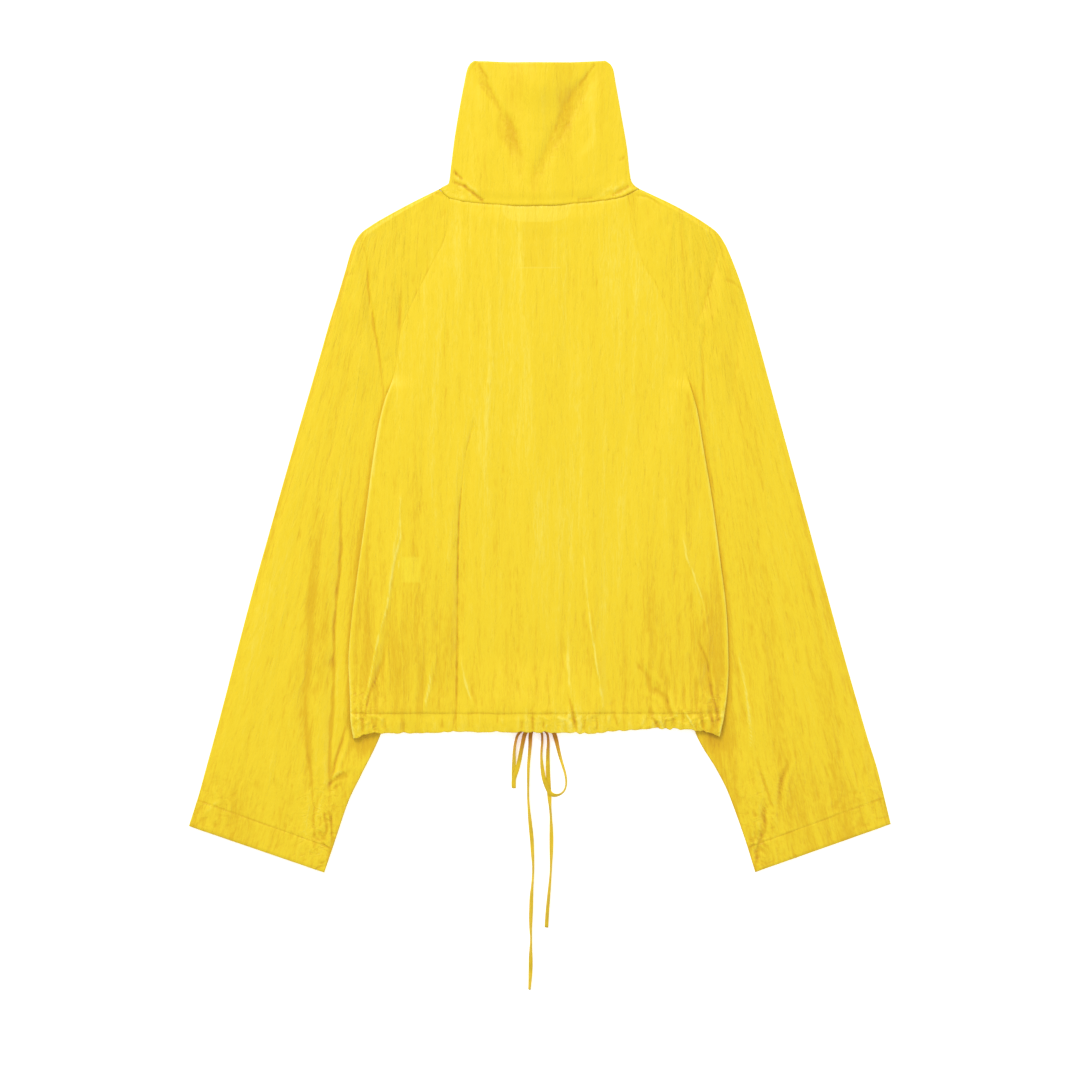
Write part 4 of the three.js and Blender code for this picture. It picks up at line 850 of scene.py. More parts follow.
bodyPaintedShade = [  # painted shade or highlight alone: width, strength, lean, path
    (0.8, -1.2, 0, [(-81, 32)] + longCrease),
    (13, -0.22, 0.9, [(-70, 20), (-88, -60), (-90, -160), (-92, -270)]),
    (3.0, 0.62, 0, [(-161, -66), (-167, -106), (-174, -150), (-183, -190), (-190, -222)]),
    (0.8, 0.95, 0, [(-184, -190), (-191, -222), (-197, -250), (-203, -274), (-205, -290)]),
    (0.8, 0.7, 0, [(-166.5, -84), (-170.5, -112), (-178, -150), (-185, -178)]),
    (0.8, 0.6, 0, [(-157, -90), (-162, -112), (-167, -140), (-174, -166)]),
    (3.2, 0.36, 0, [(52, -140), (58, -190), (66, -235), (72, -274)]),
    (3.6, 0.5, 0, [(166, -76), (172, -112), (182, -146), (192, -196)]),
    (2.2, -0.6, 0, [(112, -225), (119, -245), (131, -266)]),
    (1.8, -0.6, 0, [(144.3, -258), (148, -276), (152.3, -289)]),
]


def crumpledBack(x, y):
    # where the drawn-up hem crumples the cloth most
    low, band = smooth(-225, -287, y), smooth(-270, -290, y)
    corners = hump(np.abs(x) - 208, 24)
    drawn = hump(x - 35, 38) + hump(x - 150, 34)
    return np.clip(low * (0.12 + corners) + band * drawn + 0.06 * smooth(-40, -200, y), 0, 1)


def hemPuckers(x, y, share):
    # short upright puckers inside the channel where the tie draws it up
    pull = gatherHeight(x, np.full_like(x, channelY - 5)) + 0.25
    wave = cloudy(x + 3 * cloudy(x, y, 83, 20, 9), y, 84, 5.4, 15, 2)
    return pull * np.clip(wave, -0.7, 1.2) * (0.25 + 0.75 * share)


def backSurface(x, y, channelShare):
    blend = smooth(channelY + 3, channelY - 4, y)
    z = mix(backTop(x, y), hemTop(x, y, channelShare), blend)
    edge = np.abs(x - sideValue(x, y, bodyEdge))
    inner = smooth(0, 16, edge)
    crumpling = crumpledBack(x, y)
    tucks = creaseHeight([(wide, -high, 0, [(x0, y0), (x1, y1)])
                          for x0, y0, x1, y1, wide, high in hemTucks], x, y)
    cross = acrossHeight(backCross, x, y)
    z += smooth(0, 7, edge) * (creaseHeight(bodyCreases, x, y) + cross) + tucks
    for row in back["creases"]:
        z += inner * creases(x, y, *row)
    z += inner * back["crinkle"] * (0.55 + crumpling) * (crinkle(x, y, 61, 9, 62) - 0.3)
    z += smooth(0, 6, edge) * crumpling * 1.3 * (crinkle(x, y, 62, 13, 15) - 0.35)
    z += 1.5 * hemPuckers(x, y, channelShare) * smooth(channelY, channelY - 5, y)
    seamLine = y - channelY - 0.7 * cloudy(x, 0 * x, 85, 12, 1.0) * smooth(0, 10, edge)
    z -= back["seamDip"] * hump(seamLine, 1.3)
    z += 0.6 * hump(edge - 2.4, 1.9) * smooth(armpitY, armpitY - 30, y)
    z -= 0.25 * hump(edge, 1.8) * smooth(armpitY - 10, armpitY + 10, y)
    z = np.maximum(z, frontLift(x, y) + back["aboveFronts"] + overTape(x))
    crumpled = np.clip(0.8 + 0.75 * cloudy(x + 0.35 * y, y, 77, 2.0, 5.5, 2), 0.1, 1.7)
    # painted shade in the creases, tucks and cross creases and painted highlight on their ridges, broken
    # up unevenly
    paintedShade = paintedShadeAlong(bodyCreases, bodyPaintedShade, x, y) * crumpled + back["tuckShade"] * (tucks + cross)
    uneven = 0.7 + 0.4 * cloudy(x, y, 7, 60, 45)
    # painted highlight along the back's folded side edges, below the armpits
    paintedShade += back["edgeHighlight"] * hump(edge, 1.5) * smooth(armpitY, armpitY - 25, y) * uneven
    paintedShade -= back["stitchDark"] * hump(seamLine, 0.7) * broken(x, y, 86, 13, 30)
    # painted shade: the back darker towards its sides and towards the hem
    beside = smooth(70, 200, np.abs(x)) * np.where(x > 0, 1.2, 0.95)
    paintedShade -= (0.2 * smooth(220, -40, y) + 0.16 * smooth(-60, -250, y)) * beside
    paintedShade -= 0.26 * smooth(-40, -240, y)
    paintedShade += back["hemLight"] * smooth(channelY + 1, channelY - 3, y)
    paintedShade -= back["raglanDark"] * hump(edge, 1.6) * smooth(armpitY - 10, armpitY + 10, y)
    return z, paintedShade, crumpling


def spacedShares(count, close):
    # shares from the edge to the middle, closer together where a sharp crease runs
    fine = np.linspace(0, 1, 2000)
    weight = 1 + 1.3 * sum(np.exp(-(((fine - at) / reach) ** 4)) for at, reach in close)
    total = np.cumsum(weight)
    return np.interp(np.linspace(total[0], total[-1], count), total, fine)


def makeBack():
    nearSeam = 1 - np.array(back["nearSeam"]) / (neckY - channelY)
    shares = np.concatenate([np.linspace(0, 1 - 5.5 / (neckY - channelY), back["rows"]), nearSeam,
                             np.linspace(1, 2, back["hemRows"])[1:]])
    halves = {side: spacedShares(back["columns"], back["close"][side]) for side in way}
    left = halfPanel("left", shares, halves["left"], 0, neckAt)
    right = halfPanel("right", shares, halves["right"][::-1][1:], 0, neckAt)
    x, y = [np.hstack(both) for both in zip(left, right)]
    hemShare = np.clip((channelY - y) / (channelY - hemAt(x)), 0, 1)
    z, paintedShade, crumpling = backSurface(x, y, hemShare)
    u, v = x.copy(), y.copy()
    pulled = np.clip(gatherHeight(x, np.full_like(x, channelY)) * 0.9 + crumpling * 0.4, 0, 1.4)
    y = y + hemShare**2 * ((0.25 + pulled) * (1.1 * cloudy(x, 0 * x, 81, 6.5, 1.0) - 0.2) + back["hemIn"])
    for tuck in hemTucks:
        y += hemShare**2 * 1.1 * tuck[5] * hump(x - tuck[2], 2.3)
    return rollEdges(x, y, z, paintedShade, crumpling, u, v)


def rollEdges(x, y, z, paintedShade, crumpling, u, v):
    # extra columns and rows that turn the edges down
    deep = mix(*back["edgeDeep"], smooth(armpitY, armpitY - rampLength, y[:, 0]))
    turns = np.linspace(0, math.pi / 2, back["rollRows"])[1:]
    fields = [x, y, z, paintedShade, crumpling, u, v]
    firstEdge, lastEdge = [field[:, :1] for field in fields], [field[:, -1:] for field in fields]
    for turn in turns:
        out, drop = back["rollOut"] * math.sin(turn), 1 - math.cos(turn)
        for base, outward in ((firstEdge, -1), (lastEdge, 1)):
            column = [part.copy() for part in base]
            down = deep[:, None] * drop
            column[0], column[2] = column[0] + outward * out, column[2] - down
            column[5] = column[5] + outward * (out + down)
            fields = [np.hstack([new, old][::-outward]) for old, new in zip(fields, column)]
    bottom = [field[-1:].copy() for field in fields]
    for turn in turns:
        row = [part.copy() for part in bottom]
        out, drop = back["hemOut"] * math.sin(turn), back["hemDeep"] * (1 - math.cos(turn))
        row[1], row[2], row[6] = row[1] - out, row[2] - drop, row[6] - out - drop
        fields = [np.vstack([old, new]) for old, new in zip(fields, row)]
    top = [field[:1].copy() for field in fields]
    top[1], top[2] = top[1] + back["neckIn"], top[2] - back["neckDrop"]
    return [np.vstack([new, old]) for old, new in zip(fields, top)]


x, y, z, paintedShade, crumpling, u, v = makeBack()
backPiece = sheetPiece("backCloth", x, y, z, u, v, finishes["back"], shadeFrom(z, paintedShade), crumpling)
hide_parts("back_panel", "hem_channel_back")
print("back made")


# Sleeves: each one sheet from the underarm seam over the top, round the fold and back below
sleeve = {
    "stations": 216, "upper": 104, "lower": 26, "foldTurns": 7, "cuffHem": 30, "crinkle": 0.42,
    "creases": (230, (-460, 310), (60, 220), (2.4, 6.5), (0.06, 0.34)),  # count, and as for the back
    "nearStitches": [-2.4, -1.3, -0.6, 0, 0.6, 1.3, 2.4], "stitchDip": 0.4, "stitchDark": 0.55,
    "seamDip": 0.45, "shadowBesideBody": 0.75, "floorGap": 0.6, "endDrop": 0.6, "endOut": 0.5,
}
outerDip = [
    (-228.8, -64.9), (-229.5, -107.4), (-236.5, -182.2), (-238, -268.4), (-241.3, -318.7),
    (-242.4, -367.9),
]
sleeveCreases = [
    (2.0, -1.8, 0, [(-205.8, 259.4), (-198.9, 236.4), (-197.8, 210), (-190.9, 160.5),
                    (-185.1, 124.9), (-179.4, 76.6)], 1.5, -0.9),
    (8, 1.6, 0.5, [(-216, 250), (-208, 200), (-200, 140), (-190, 80)]),
    (2.2, -1.1, 0, [(-164.4, 207.7), (-161, 184.7), (-161, 153.6), (-162.1, 134.1)], 1.8, -0.5),
    (5, 0.9, -0.3, [(-178, 235), (-171, 190), (-169, 145)]),
    (6, -0.9, 0, [(-228, 200), (-222, 120), (-214, 20)]), (2.0, -2.0, 0, outerDip),
    (8, 1.5, 0.5, [(-236, -60), (-240, -140), (-247, -240), (-250, -350)]),
    (7.5, -1.1, 0, [(-255, -60), (-262, -150), (-265, -220), (-270.6, -271.7), (-266.5, -342),
                    (-261.2, -389), (-257.7, -422)], 8, -0.26),
    (8, 1.2, -0.4, [(-278, -200), (-285, -280), (-278, -370)]),
    (1.9, -1.6, 0, [(-224.8, -302), (-230.7, -323.4), (-241.3, -360.9)]),
    (2.4, 1.3, 0, [(-218, -305), (-226, -330), (-236, -362)]),
    (2.0, -1.6, 0, [(-249.6, -389), (-241, -405.5), (-238.7, -429), (-243.6, -446)]),
    (2.4, 1.2, 0, [(-254, -398), (-248, -412), (-246, -430)]),
    (3, 0.8, 0, [(-300, -300), (-308, -340), (-318, -380)]),
    (3, -0.7, 0, [(-330, -300), (-338, -340), (-352, -378)]),
    (4, 0.8, 0, [(-282, -100), (-296, -170), (-312, -250)]),
    (5, -0.8, 0.3, [(-258, 20), (-272, -50), (-288, -140)]),
    (4, 0.7, 0, [(-310, -330), (-300, -360), (-292, -388)]),
    (5, 0.7, 0, [(-240, 90), (-247, 40), (-256, -20)]),
    (2.2, -1.1, 0, [(205.8, 250.2), (198.9, 220.3), (189.2, 189.3), (181.7, 166.3)], 1.7, -0.5),
    (7, 0.9, -0.5, [(216, 246), (208, 205), (199, 160), (194, 110)]),
    (2.2, -0.9, 0, [(184, 243.3), (183.4, 215), (182.8, 189.3)]),
    (2.2, -1.5, 0, [(188.6, 155.9), (186.3, 132.9), (187.6, 90), (190.6, 53.6)], 1.7, -0.7),
    (5, -0.9, 0, [(230, 190), (224, 110), (216, 20)]),
    (5, 0.8, 0, [(244, 110), (252, 40), (262, -40)]),
    (2.0, 1.5, 0, [(228.7, -218.2), (234, -244.6), (240.6, -292), (242.4, -322)], 1.2, 0.95),
    (3, -1.1, 0, [(222, -200), (228, -250), (233, -310)]),
    (2.4, -1.2, 0, [(249.9, -336.8), (255.1, -355.3), (265.7, -386.9)], 1.6, -0.8),
    (2.2, -1.9, 0, [(263, -384), (256.5, -400.2), (259.4, -413.3), (252.4, -431.7), (247.2, -460)]),
    (2.6, 1.5, 0, [(256, -380), (250, -400), (251, -420), (246, -440)]),
    (2.2, -1.3, 0, [(284.1, -344.8), (276.2, -365.9), (273.6, -388)]),
    (2.6, 0.9, 0, [(290, -340), (283, -366), (281, -392)]),
    (2.0, -0.9, 0, [(276, -412), (273, -419), (270, -428)]),
    (7, -1.0, 0.3, [(246, -60), (262, -160), (284, -280)]),
    (5, 0.9, 0, [(262, -90), (280, -190), (304, -300)]),
    (5, -0.8, 0, [(294, -60), (316, -170), (344, -300)]),
    (5, 0.8, 0, [(310, -120), (330, -210), (356, -320)]),
    (3, 0.8, 0, [(352, -330), (357, -350), (366, -376)]),
    (3, -0.7, 0, [(318, -320), (328, -352), (336, -384)]),
]
sleevePaintedShade = [  # painted shade or highlight alone
    (1.9, -1.25, 0, [(-228, -20)] + outerDip),
    (10, -0.35, 0.8, [(-240, -60), (-243, -140), (-246, -240), (-250, -350)]),
    (1.7, -0.95, 0, [(-270, -270), (-268, -320), (-263.3, -354), (-261, -395), (-259, -432)]),
    (1.3, -1.3, 0, [(-222, -296), (-230.7, -323.4), (-241.3, -364)]),
    (1.4, -1.4, 0, [(-252, -384), (-241, -402), (-238.7, -426), (-243.6, -452)]),
    (1.3, -1.0, 0, [(-249, -396), (-246.5, -408), (-245, -420)]),
    (1.4, -1.6, 0, [(264, -380), (256.5, -400.2), (258.4, -413.3), (251.4, -431.7), (247.6, -462)]),
    (1.3, -1.1, 0, [(270, -396), (266, -410), (268, -420)]),
    (2.2, -0.8, 0, [(283.6, -340.8), (276.2, -365.9), (273.6, -388)]),
]
acrossCreases = [  # short creases that run across a sleeve: from, to, width, height
    (-242, -361, -210, -347.5, 2.2, 1.3), (-242, -366, -222, -356, 2.2, -1.2),
    (-262, -427, -246, -436, 2.0, -1.1), (-272, -418, -256, -424, 2.0, 0.9),
    (-384, -398, -366, -384, 2.4, 0.8), (334, -394, 366, -374, 2.2, -0.8),
    (244, -422, 262, -404, 2.2, 0.9), (112, 311, 138, 299.8, 1.6, -1.0),
    (-126, 314, -110, 310, 1.6, -0.9), (214, 214, 232, 203, 2.6, -0.7),
    (-232, 214, -214, 222, 2.6, -0.7), (-262, -424, -252, -423, 1.3, -1.6),
    (-253, -427, -243, -431, 1.3, -1.5), (-252, -404, -243, -399, 1.3, -1.2),
    (-241, -364, -231, -355, 1.2, -1.6), (-238, -371, -230, -366, 1.3, -1.2),
    (-231, -355, -216, -349, 1.2, -1.3), (239, -431, 252, -426, 1.3, -1.4),
    (252, -427, 268, -418, 1.3, -1.3), (258, -386, 268, -389, 1.2, -1.4),
    (262, -402, 272, -408, 1.3, 1.2), (246, -444, 256, -440, 1.3, -1.0),
]


def grainAcross(side, x, y):
    # a line of the cloth's grain keeps one value: upright by the body, along the fold outside
    outer = tableAt([(row[4], row[3]) for row in sleeveSections[side] if row[0] >= 4], 1, y)
    share = np.clip((x - way[side] * 150) / (outer - way[side] * 150), 0, 1)
    return x + (y + 120) * way[side] * mix(0.03, 0.27, share)


def sleeveSurface(side, x, y, seed):
    outside = sign(x) * (x - sideValue(x, y, bodyEdge))
    clear = mix(4, 19, smooth(armpitY + 30, armpitY, y))
    full = np.maximum(smooth(clear, clear + 26, outside), 1 - smooth(-345, -316, y))
    free = np.where(y > armpitY, smooth(0, 5, outside), smooth(1.5, 8, outside))
    free = np.maximum(free, 1 - smooth(-330, -314, y))
    z = 2 * cloth + seamGap + full * np.maximum(0, 1.6 + foldHeight(sleeveFolds, x, y))
    u = grainAcross(side, x, y)
    inner = hump(np.abs(x) - 252, 24)
    corner = hump(np.abs(x) - 385, 26) * smooth(-350, -385, y)
    crumpling = 0.06 + 0.75 * smooth(-330, -400, y) * inner + 0.4 * corner + 0.16 * smooth(-250, -380, y)
    crumpling = np.clip(crumpling, 0, 1)
    short = acrossHeight(acrossCreases, x, y)
    lift = creaseHeight(sleeveCreases, x, y) + short
    count, along, *sizes = sleeve["creases"]
    lift += full * creases(u, y, seed, count, ((u.min(), u.max()), along), *sizes)
    lift += sleeve["crinkle"] * (0.6 + 0.8 * crumpling) * (crinkle(u, y, seed + 3, 9, 66) - 0.3)
    lift += 1.2 * crumpling * (crinkle(x, y, seed + 5, 13, 17) - 0.35)
    z = np.maximum(z + free * lift, 1.7)
    # painted shade and highlight along the sleeve's creases
    paintedShade = free * (paintedShadeAlong(sleeveCreases, sleevePaintedShade, x, y) + 0.5 * short)
    # painted shadow of the body's edge on the sleeve beside it
    beside = hump(np.maximum(outside, 0), 5.0) * smooth(armpitY + 5, armpitY - 20, y)
    paintedShade -= sleeve["shadowBesideBody"] * beside * smooth(-318, -300, y)
    # painted shadow under the hem's corners; the sleeves also darker towards the cuffs, and the right one
    # below its top
    hemShadow = hump(np.abs(x) - 200, 17) * hump(y + 316, 13)
    paintedShade -= 1.0 * hemShadow + 0.25 * smooth(-300, -430, y) + 0.16 * smooth(0, -300, y) * (x > 0)
    return z, paintedShade, crumpling, u


def makeSleeve(side, seed):
    sections, out = sleeveSections[side], way[side]
    armpitShare = (neckY - armpitY) / (neckY - channelY)
    at = np.linspace(0, 20, sleeve["stations"])
    middle = [(tableAt(sections, k, at) + tableAt(sections, k + 2, at)) / 2 for k in (1, 2)]
    along = lengthAlong(*middle)
    nearStitches = np.interp(along[-1] - sleeve["cuffHem"] + np.array(sleeve["nearStitches"]), along, at)
    apart = np.abs(at[:, None] - nearStitches[None, :]).min(1) > 0.02
    at = np.sort(np.concatenate([at[apart], nearStitches]))
    inX, inY, outX, outY = [tableAt(sections, k, at) for k in (1, 2, 3, 4)]
    for i, station in enumerate(at):
        if station <= 7:
            inX[i], inY[i] = edgePoint(side, armpitShare * station / 7)
        elif station <= 8:
            inX[i] = tableAt(bodyEdge[side], 1, inY[i])
    inX = inX - out * np.where(at <= 8, 0.5, 0)
    span = np.hypot(outX - inX, outY - inY)
    edge = 2 * cloth + seamGap
    reach = edge / 2
    rim = np.minimum(0.4, reach / span)
    along = lengthAlong((inX + outX) / 2, (inY + outY) / 2)
    fromCuff = along[-1] - along
    stitched = hump(fromCuff - sleeve["cuffHem"], 1.0)
    columns = []
    zero = np.zeros_like(inX)

    def spot(t):
        return mix(inX, outX, t), mix(inY, outY, t)

    for t in np.linspace(0, 1, sleeve["upper"]):
        px, py = spot(t * (1 - rim))
        pz, paintedShade, crumpling, u = sleeveSurface(side, px, py, seed)
        pz = pz - sleeve["stitchDip"] * stitched * smooth(0, 0.03, t) * smooth(1, 0.96, t)
        seam = hump(t * span, 1.8)
        pz = mix(edge, pz, smooth(1, 0.93, t)) - sleeve["seamDip"] * seam
        paintedShade = paintedShade - sleeve["stitchDark"] * stitched * broken(px, py, 8, 15, 26) - 0.16 * seam * (at < 8)
        columns.append((px, py, pz, paintedShade, crumpling, u, py))
    outerU = columns[-1][5]
    for turn in np.linspace(math.pi / 2, -math.pi / 2, sleeve["foldTurns"] + 2)[1:-1]:
        px, py = spot(1 - rim + rim * math.cos(turn))
        columns.append((px, py, zero + reach + reach * math.sin(turn), zero, zero,
                        outerU + out * (1.8 - turn), py))
    for t in np.linspace(1, 0, sleeve["lower"]):
        px, py = spot(t * (1 - rim))
        loose = smooth(0, 0.05, t) * smooth(1, 0.95, t)
        under = 0.35 * (0.5 + 0.5 * cloudy(px, py, seed + 9, 14, 80, 2)) * loose
        columns.append((px, py, sleeve["floorGap"] + under, zero, zero,
                        2 * outerU - grainAcross(side, px, py) + out * 3.6, py))
    parts = [np.column_stack([column[k] for column in columns]) for k in range(7)]
    end = [part[-1:].copy() for part in parts]
    upper = np.arange(parts[0].shape[1]) < sleeve["upper"]
    end[2] = np.where(upper, end[2] - sleeve["endDrop"], end[2])
    end[1] = end[1] - sleeve["endOut"]
    return [np.vstack([part, extra]) for part, extra in zip(parts, end)]


for side, seed in (("left", 21), ("right", 31)):
    x, y, z, paintedShade, crumpling, u, v = makeSleeve(side, seed)
    piece = sheetPiece("sleeveCloth_" + side, x, y, z, u, v, finishes["sleeve"], shadeFrom(z, paintedShade), crumpling,
                       turned=side == "left")
    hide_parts("sleeve_" + side)
print("sleeves made")


# Collar: one doubled sheet from the centre front round both folds, its back uppermost
collar = {
    "front": 22, "back": 124, "rows": 82, "foldTurns": 7, "crinkle": 0.3, "top": 466.1,
    "creases": (41, 70, ((-100, 100), (300, 466)), (30, 110), (2.6, 6), (0.05, 0.26)),
    "floorGap": 1.1, "foldGap": 0.5, "baseIn": 0.75, "baseDrop": 0.9, "topOut": 0.4, "topDrop": 1.0,
}
collarCreases = [
    (10, -1.8, 0.25, [(-88, 486), (-75, 462), (-60, 438), (-47, 414), (-36, 392), (-26, 370),
                      (-16, 344)]),
    (7, -1.2, 0.2, [(-69, 453), (-54, 427), (-42, 402), (-33, 386)]),
    (12, -1.7, -0.25, [(70, 460), (46, 434), (30, 408), (20, 386), (8, 358), (-8, 326)]),
    (14, 1.5, 0, [(-6, 458), (-4, 420), (-8, 385)]),
    (9, 1.0, 0.3, [(-66, 424), (-58, 386), (-50, 345)]),
    (9, 1.0, -0.3, [(62, 410), (58, 370), (48, 332)]),
    (2.2, -0.7, 0, [(-80, 400), (-74, 370), (-70, 345)]),
]
collarTucks = [  # short creases at the collar's base: from, to, width, height
    (-104.5, 339.5, -97, 337, 1.5, -2.2), (-97, 337, -90, 331, 1.4, -1.5),
    (-104, 334.5, -94, 329.5, 1.7, 0.5), (-103.5, 328.5, -86.7, 322.2, 1.5, -1.5),
    (-86.7, 322.2, -76.4, 313.9, 1.5, -1.9), (-76.4, 313.9, -66.8, 306.4, 1.5, -1.7),
    (-84, 325, -72, 316, 1.9, 0.4), (102, 322, 84, 312, 1.8, -1.2), (96, 326, 70, 312, 2.4, 0.4),
    (62, 461, 46, 439, 1.6, -0.8), (-70, 461, -60, 446, 1.6, -0.6), (104, 360, 92, 352, 1.8, -0.7),
    (60, 309, 44, 306, 1.8, -0.8),
]


def collarFrontLift(x, y):
    return sliderLift * (1 - smooth(9, 50, np.hypot(x, y - sliderY)))


def collarSurface(x, y):
    full = smooth(0, 16, y - neckAt(x)) * (1 - smooth(64, 84, np.abs(x)))
    tape = (collarCloth + seamGap) * (1 - smooth(15, 38, np.abs(x)))
    slider = 0.6 * (1 - smooth(9, 40, np.hypot(x, y - sliderY)))
    ends = np.minimum(x - tableAt(collarEdge["left"], 1, y), tableAt(collarEdge["right"], 1, y) - x)
    free = smooth(1, 7, ends)
    tucks = acrossHeight(collarTucks, x, y, bow=0, ends=1)
    inCreases = np.abs(creaseHeight(collarCreases[:3], x, y)) / 2
    crumpling = np.clip(0.08 + 0.4 * inCreases + 0.7 * smooth(338, 315, y) * smooth(58, 88, np.abs(x)), 0, 1)
    lift = creaseHeight(collarCreases, x, y) + creases(x, y, *collar["creases"])
    lift += collar["crinkle"] * (0.6 + crumpling) * (crinkle(x, y, 42, 9, 50) - 0.3)
    lift += 0.9 * crumpling * (crinkle(x, y, 43, 11, 13) - 0.35)
    base = collarFrontLift(x, y) + 2 * collarCloth + seamGap + tape + slider
    z = base + full * np.maximum(0, 1.4 + foldHeight(collarFolds, x, y)) + free * (lift + tucks)
    z = np.maximum(z, base - 0.7 * free)
    z += 0.5 * hump(y - neckAt(x) - 2, 2.4) * free
    # dark line along the neck seam: partly the seam itself, partly painted shadow under the collar's edge
    seam = hump(y - neckAt(x), 0.9) * (0.35 + 0.6 * smooth(40, 95, x))
    upper = smooth(400, 455, y) * smooth(75, 20, np.abs(x - 14))
    # painted shade in the tucks and creases, painted highlight on raised tucks, and darker towards the
    # top middle
    paintedShade = 0.75 * tucks - 0.6 * inCreases - seam - 0.14 * upper
    return z, free * paintedShade, crumpling


def makeCollar():
    reach = (2 * collarCloth + seamGap) / 2
    rows = []
    for share in np.linspace(0, 1, collar["rows"]):
        levels = {side: mix(collarEdge[side][0][0], collar["top"], share) for side in way}
        ends = {side: tableAt(collarEdge[side], 1, levels[side]) - way[side] * reach for side in way}
        row = []

        def wallY(x, baseAt, near):
            slope = (x - ends["left"]) / (ends["right"] - ends["left"])
            flat = mix(levels["left"], levels["right"], slope)
            level = mix(baseAt(x), tableAt(collarTop, 1, x), share)
            return mix(flat, level, smooth(0, near, np.minimum(x - ends["left"], ends["right"] - x)))

        def addFront(xs):
            ys = wallY(xs, frontNeckAt, 14)
            zero = np.zeros_like(xs)
            zs = collarFrontLift(xs, ys) + collar["floorGap"]
            row.append(np.stack([xs, ys, zs, zero, zero, xs, ys], -1))

        def addFold(side, turns):
            turns = np.array(turns)
            xs = ends[side] + way[side] * reach * np.cos(turns)
            ys = np.full_like(xs, levels[side])
            zero = np.zeros_like(xs)
            zs = reach + collar["foldGap"] + (reach - collar["foldGap"]) * np.sin(turns)
            us = ends[side] + way[side] * (reach - turns)
            row.append(np.stack([xs, ys, zs, zero, zero, us, ys], -1))

        turns = np.linspace(-math.pi / 2, math.pi / 2, collar["foldTurns"] + 2)[1:-1]
        addFront(np.linspace(-zipHalfGap, ends["left"], collar["front"]))
        addFold("left", turns)
        xs = np.linspace(ends["left"], ends["right"], collar["back"])
        ys = wallY(xs, neckAt, 3)
        zs, paintedShade, crumpling = collarSurface(xs, ys)
        row.append(np.stack([xs, ys, zs, paintedShade, crumpling, xs, ys], -1))
        addFold("right", turns[::-1])
        addFront(np.linspace(ends["right"], zipHalfGap, collar["front"]))
        rows.append(np.concatenate(row))
    grid = np.array(rows)
    base = grid[:1].copy()
    isBack = np.arange(grid.shape[1]) - collar["front"] - collar["foldTurns"]
    isBack = (isBack >= 0) & (isBack < collar["back"])
    base[0, isBack, 1] -= collar["baseIn"]
    base[0, isBack, 2] -= collar["baseDrop"]
    top = grid[-1:].copy()
    top[0, isBack, 1] += collar["topOut"]
    top[0, isBack, 2] -= collar["topDrop"]
    grid = np.concatenate([base, grid, top])
    return [grid[..., k] for k in range(7)]


x, y, z, paintedShade, crumpling, u, v = makeCollar()
collarPiece = sheetPiece("collarCloth", x, y, z, u, v, finishes["collar"], shadeFrom(z, paintedShade), crumpling,
                         thick=0.0011, turned=True)
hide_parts("collar")
print("collar made")


# Fronts: their outside lies on the floor, so the sheet is laid by its lower face
front = {
    "columns": 44, "rows": 100, "hemRows": 10, "ripple": 0.35, "hemIn": 2.6, "floorGap": 0.05,
    "edgeOut": 0.25, "edgeRise": 1.5, "stitchDark": 0.5,
}


def makeFront(side):
    rows = np.concatenate([np.linspace(0, 1, front["rows"]), np.linspace(1, 2, front["hemRows"])[1:]])
    across = np.linspace(0, 1, front["columns"]) ** 0.9
    x, y = halfPanel(side, rows, across, way[side] * zipHalfGap, frontNeckAt, front["hemIn"])
    z = frontLift(x, y) + front["floorGap"]
    loose = smooth(0, 12, np.abs(x - sideValue(x, y, bodyEdge))) * smooth(4, 16, np.abs(x))
    fold = np.clip(0.5 + 0.5 * cloudy(x, y, 91 if side == "left" else 95, 16, 120, 2), 0, 1)
    z += loose * front["ripple"] * fold
    crumpling = np.clip(0.1 + smooth(-200, -280, y) * 0.8, 0, 1)
    fields = [x, y, z, -front["stitchDark"] * hump(y - channelY, 1.2), crumpling]
    for turn in np.linspace(0, math.pi / 2, 4)[1:]:
        row = [field[-1:].copy() for field in fields]
        row[1] = row[1] - front["edgeOut"]
        row[2] = z[-1:] + front["edgeRise"] * (1 - math.cos(turn))
        fields = [np.vstack([field, extra]) for field, extra in zip(fields, row)]
    return fields


tapes = {
    "foot": -302.5, "top": 452.8, "rows": 190, "thick": 0.0007, "lift": 0.95,
    "across": [(2.9, 0), (3.3, 0.35), (3.8, 0.3), (4.6, 0), (7.5, 0), (11, 0), (13.4, 0), (14, 0)],
}  # across: place from the middle, height of the bead that holds the teeth


def zipLevel(y):
    x, neck = np.zeros_like(y), float(frontNeckAt(np.array(0.0)))
    low = np.where(y > neck, collarFrontLift(x, y), frontLift(x, y))
    return low + 1 + 1.2 * (1 - smooth(channelY, channelY + 12, y)) + 0.4 * smooth(neck - 12, neck - 3, y)


def makeTape(side):
    y = np.linspace(tapes["foot"], tapes["top"], tapes["rows"])[:, None]
    x, bead = np.array(tapes["across"], float).T[:, None, :]
    z = zipLevel(y) + tapes["lift"] + bead + 0.02 * np.sin(y / 1.7)
    x, y, z = np.broadcast_arrays(way[side] * x, y, z)
    return x.copy(), y.copy(), z.copy()


for side in way:
    x, y, z = makeTape(side)
    tapePiece = sheetPiece("zipTapeCloth_" + side, x, y, z, x, y, finishes["tape"], thick=tapes["thick"],
                           turned=side == "right")
    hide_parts("zip_tape_" + side)
    x, y, z, paintedShade, crumpling = makeFront(side)
    piece = sheetPiece("frontCloth_" + side, x, y, z, x, y, finishes["front"], shadeFrom(z, paintedShade), crumpling,
                       turned=side == "left")
    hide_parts("front_" + side, "hem_channel_front_" + side)
print("fronts made")


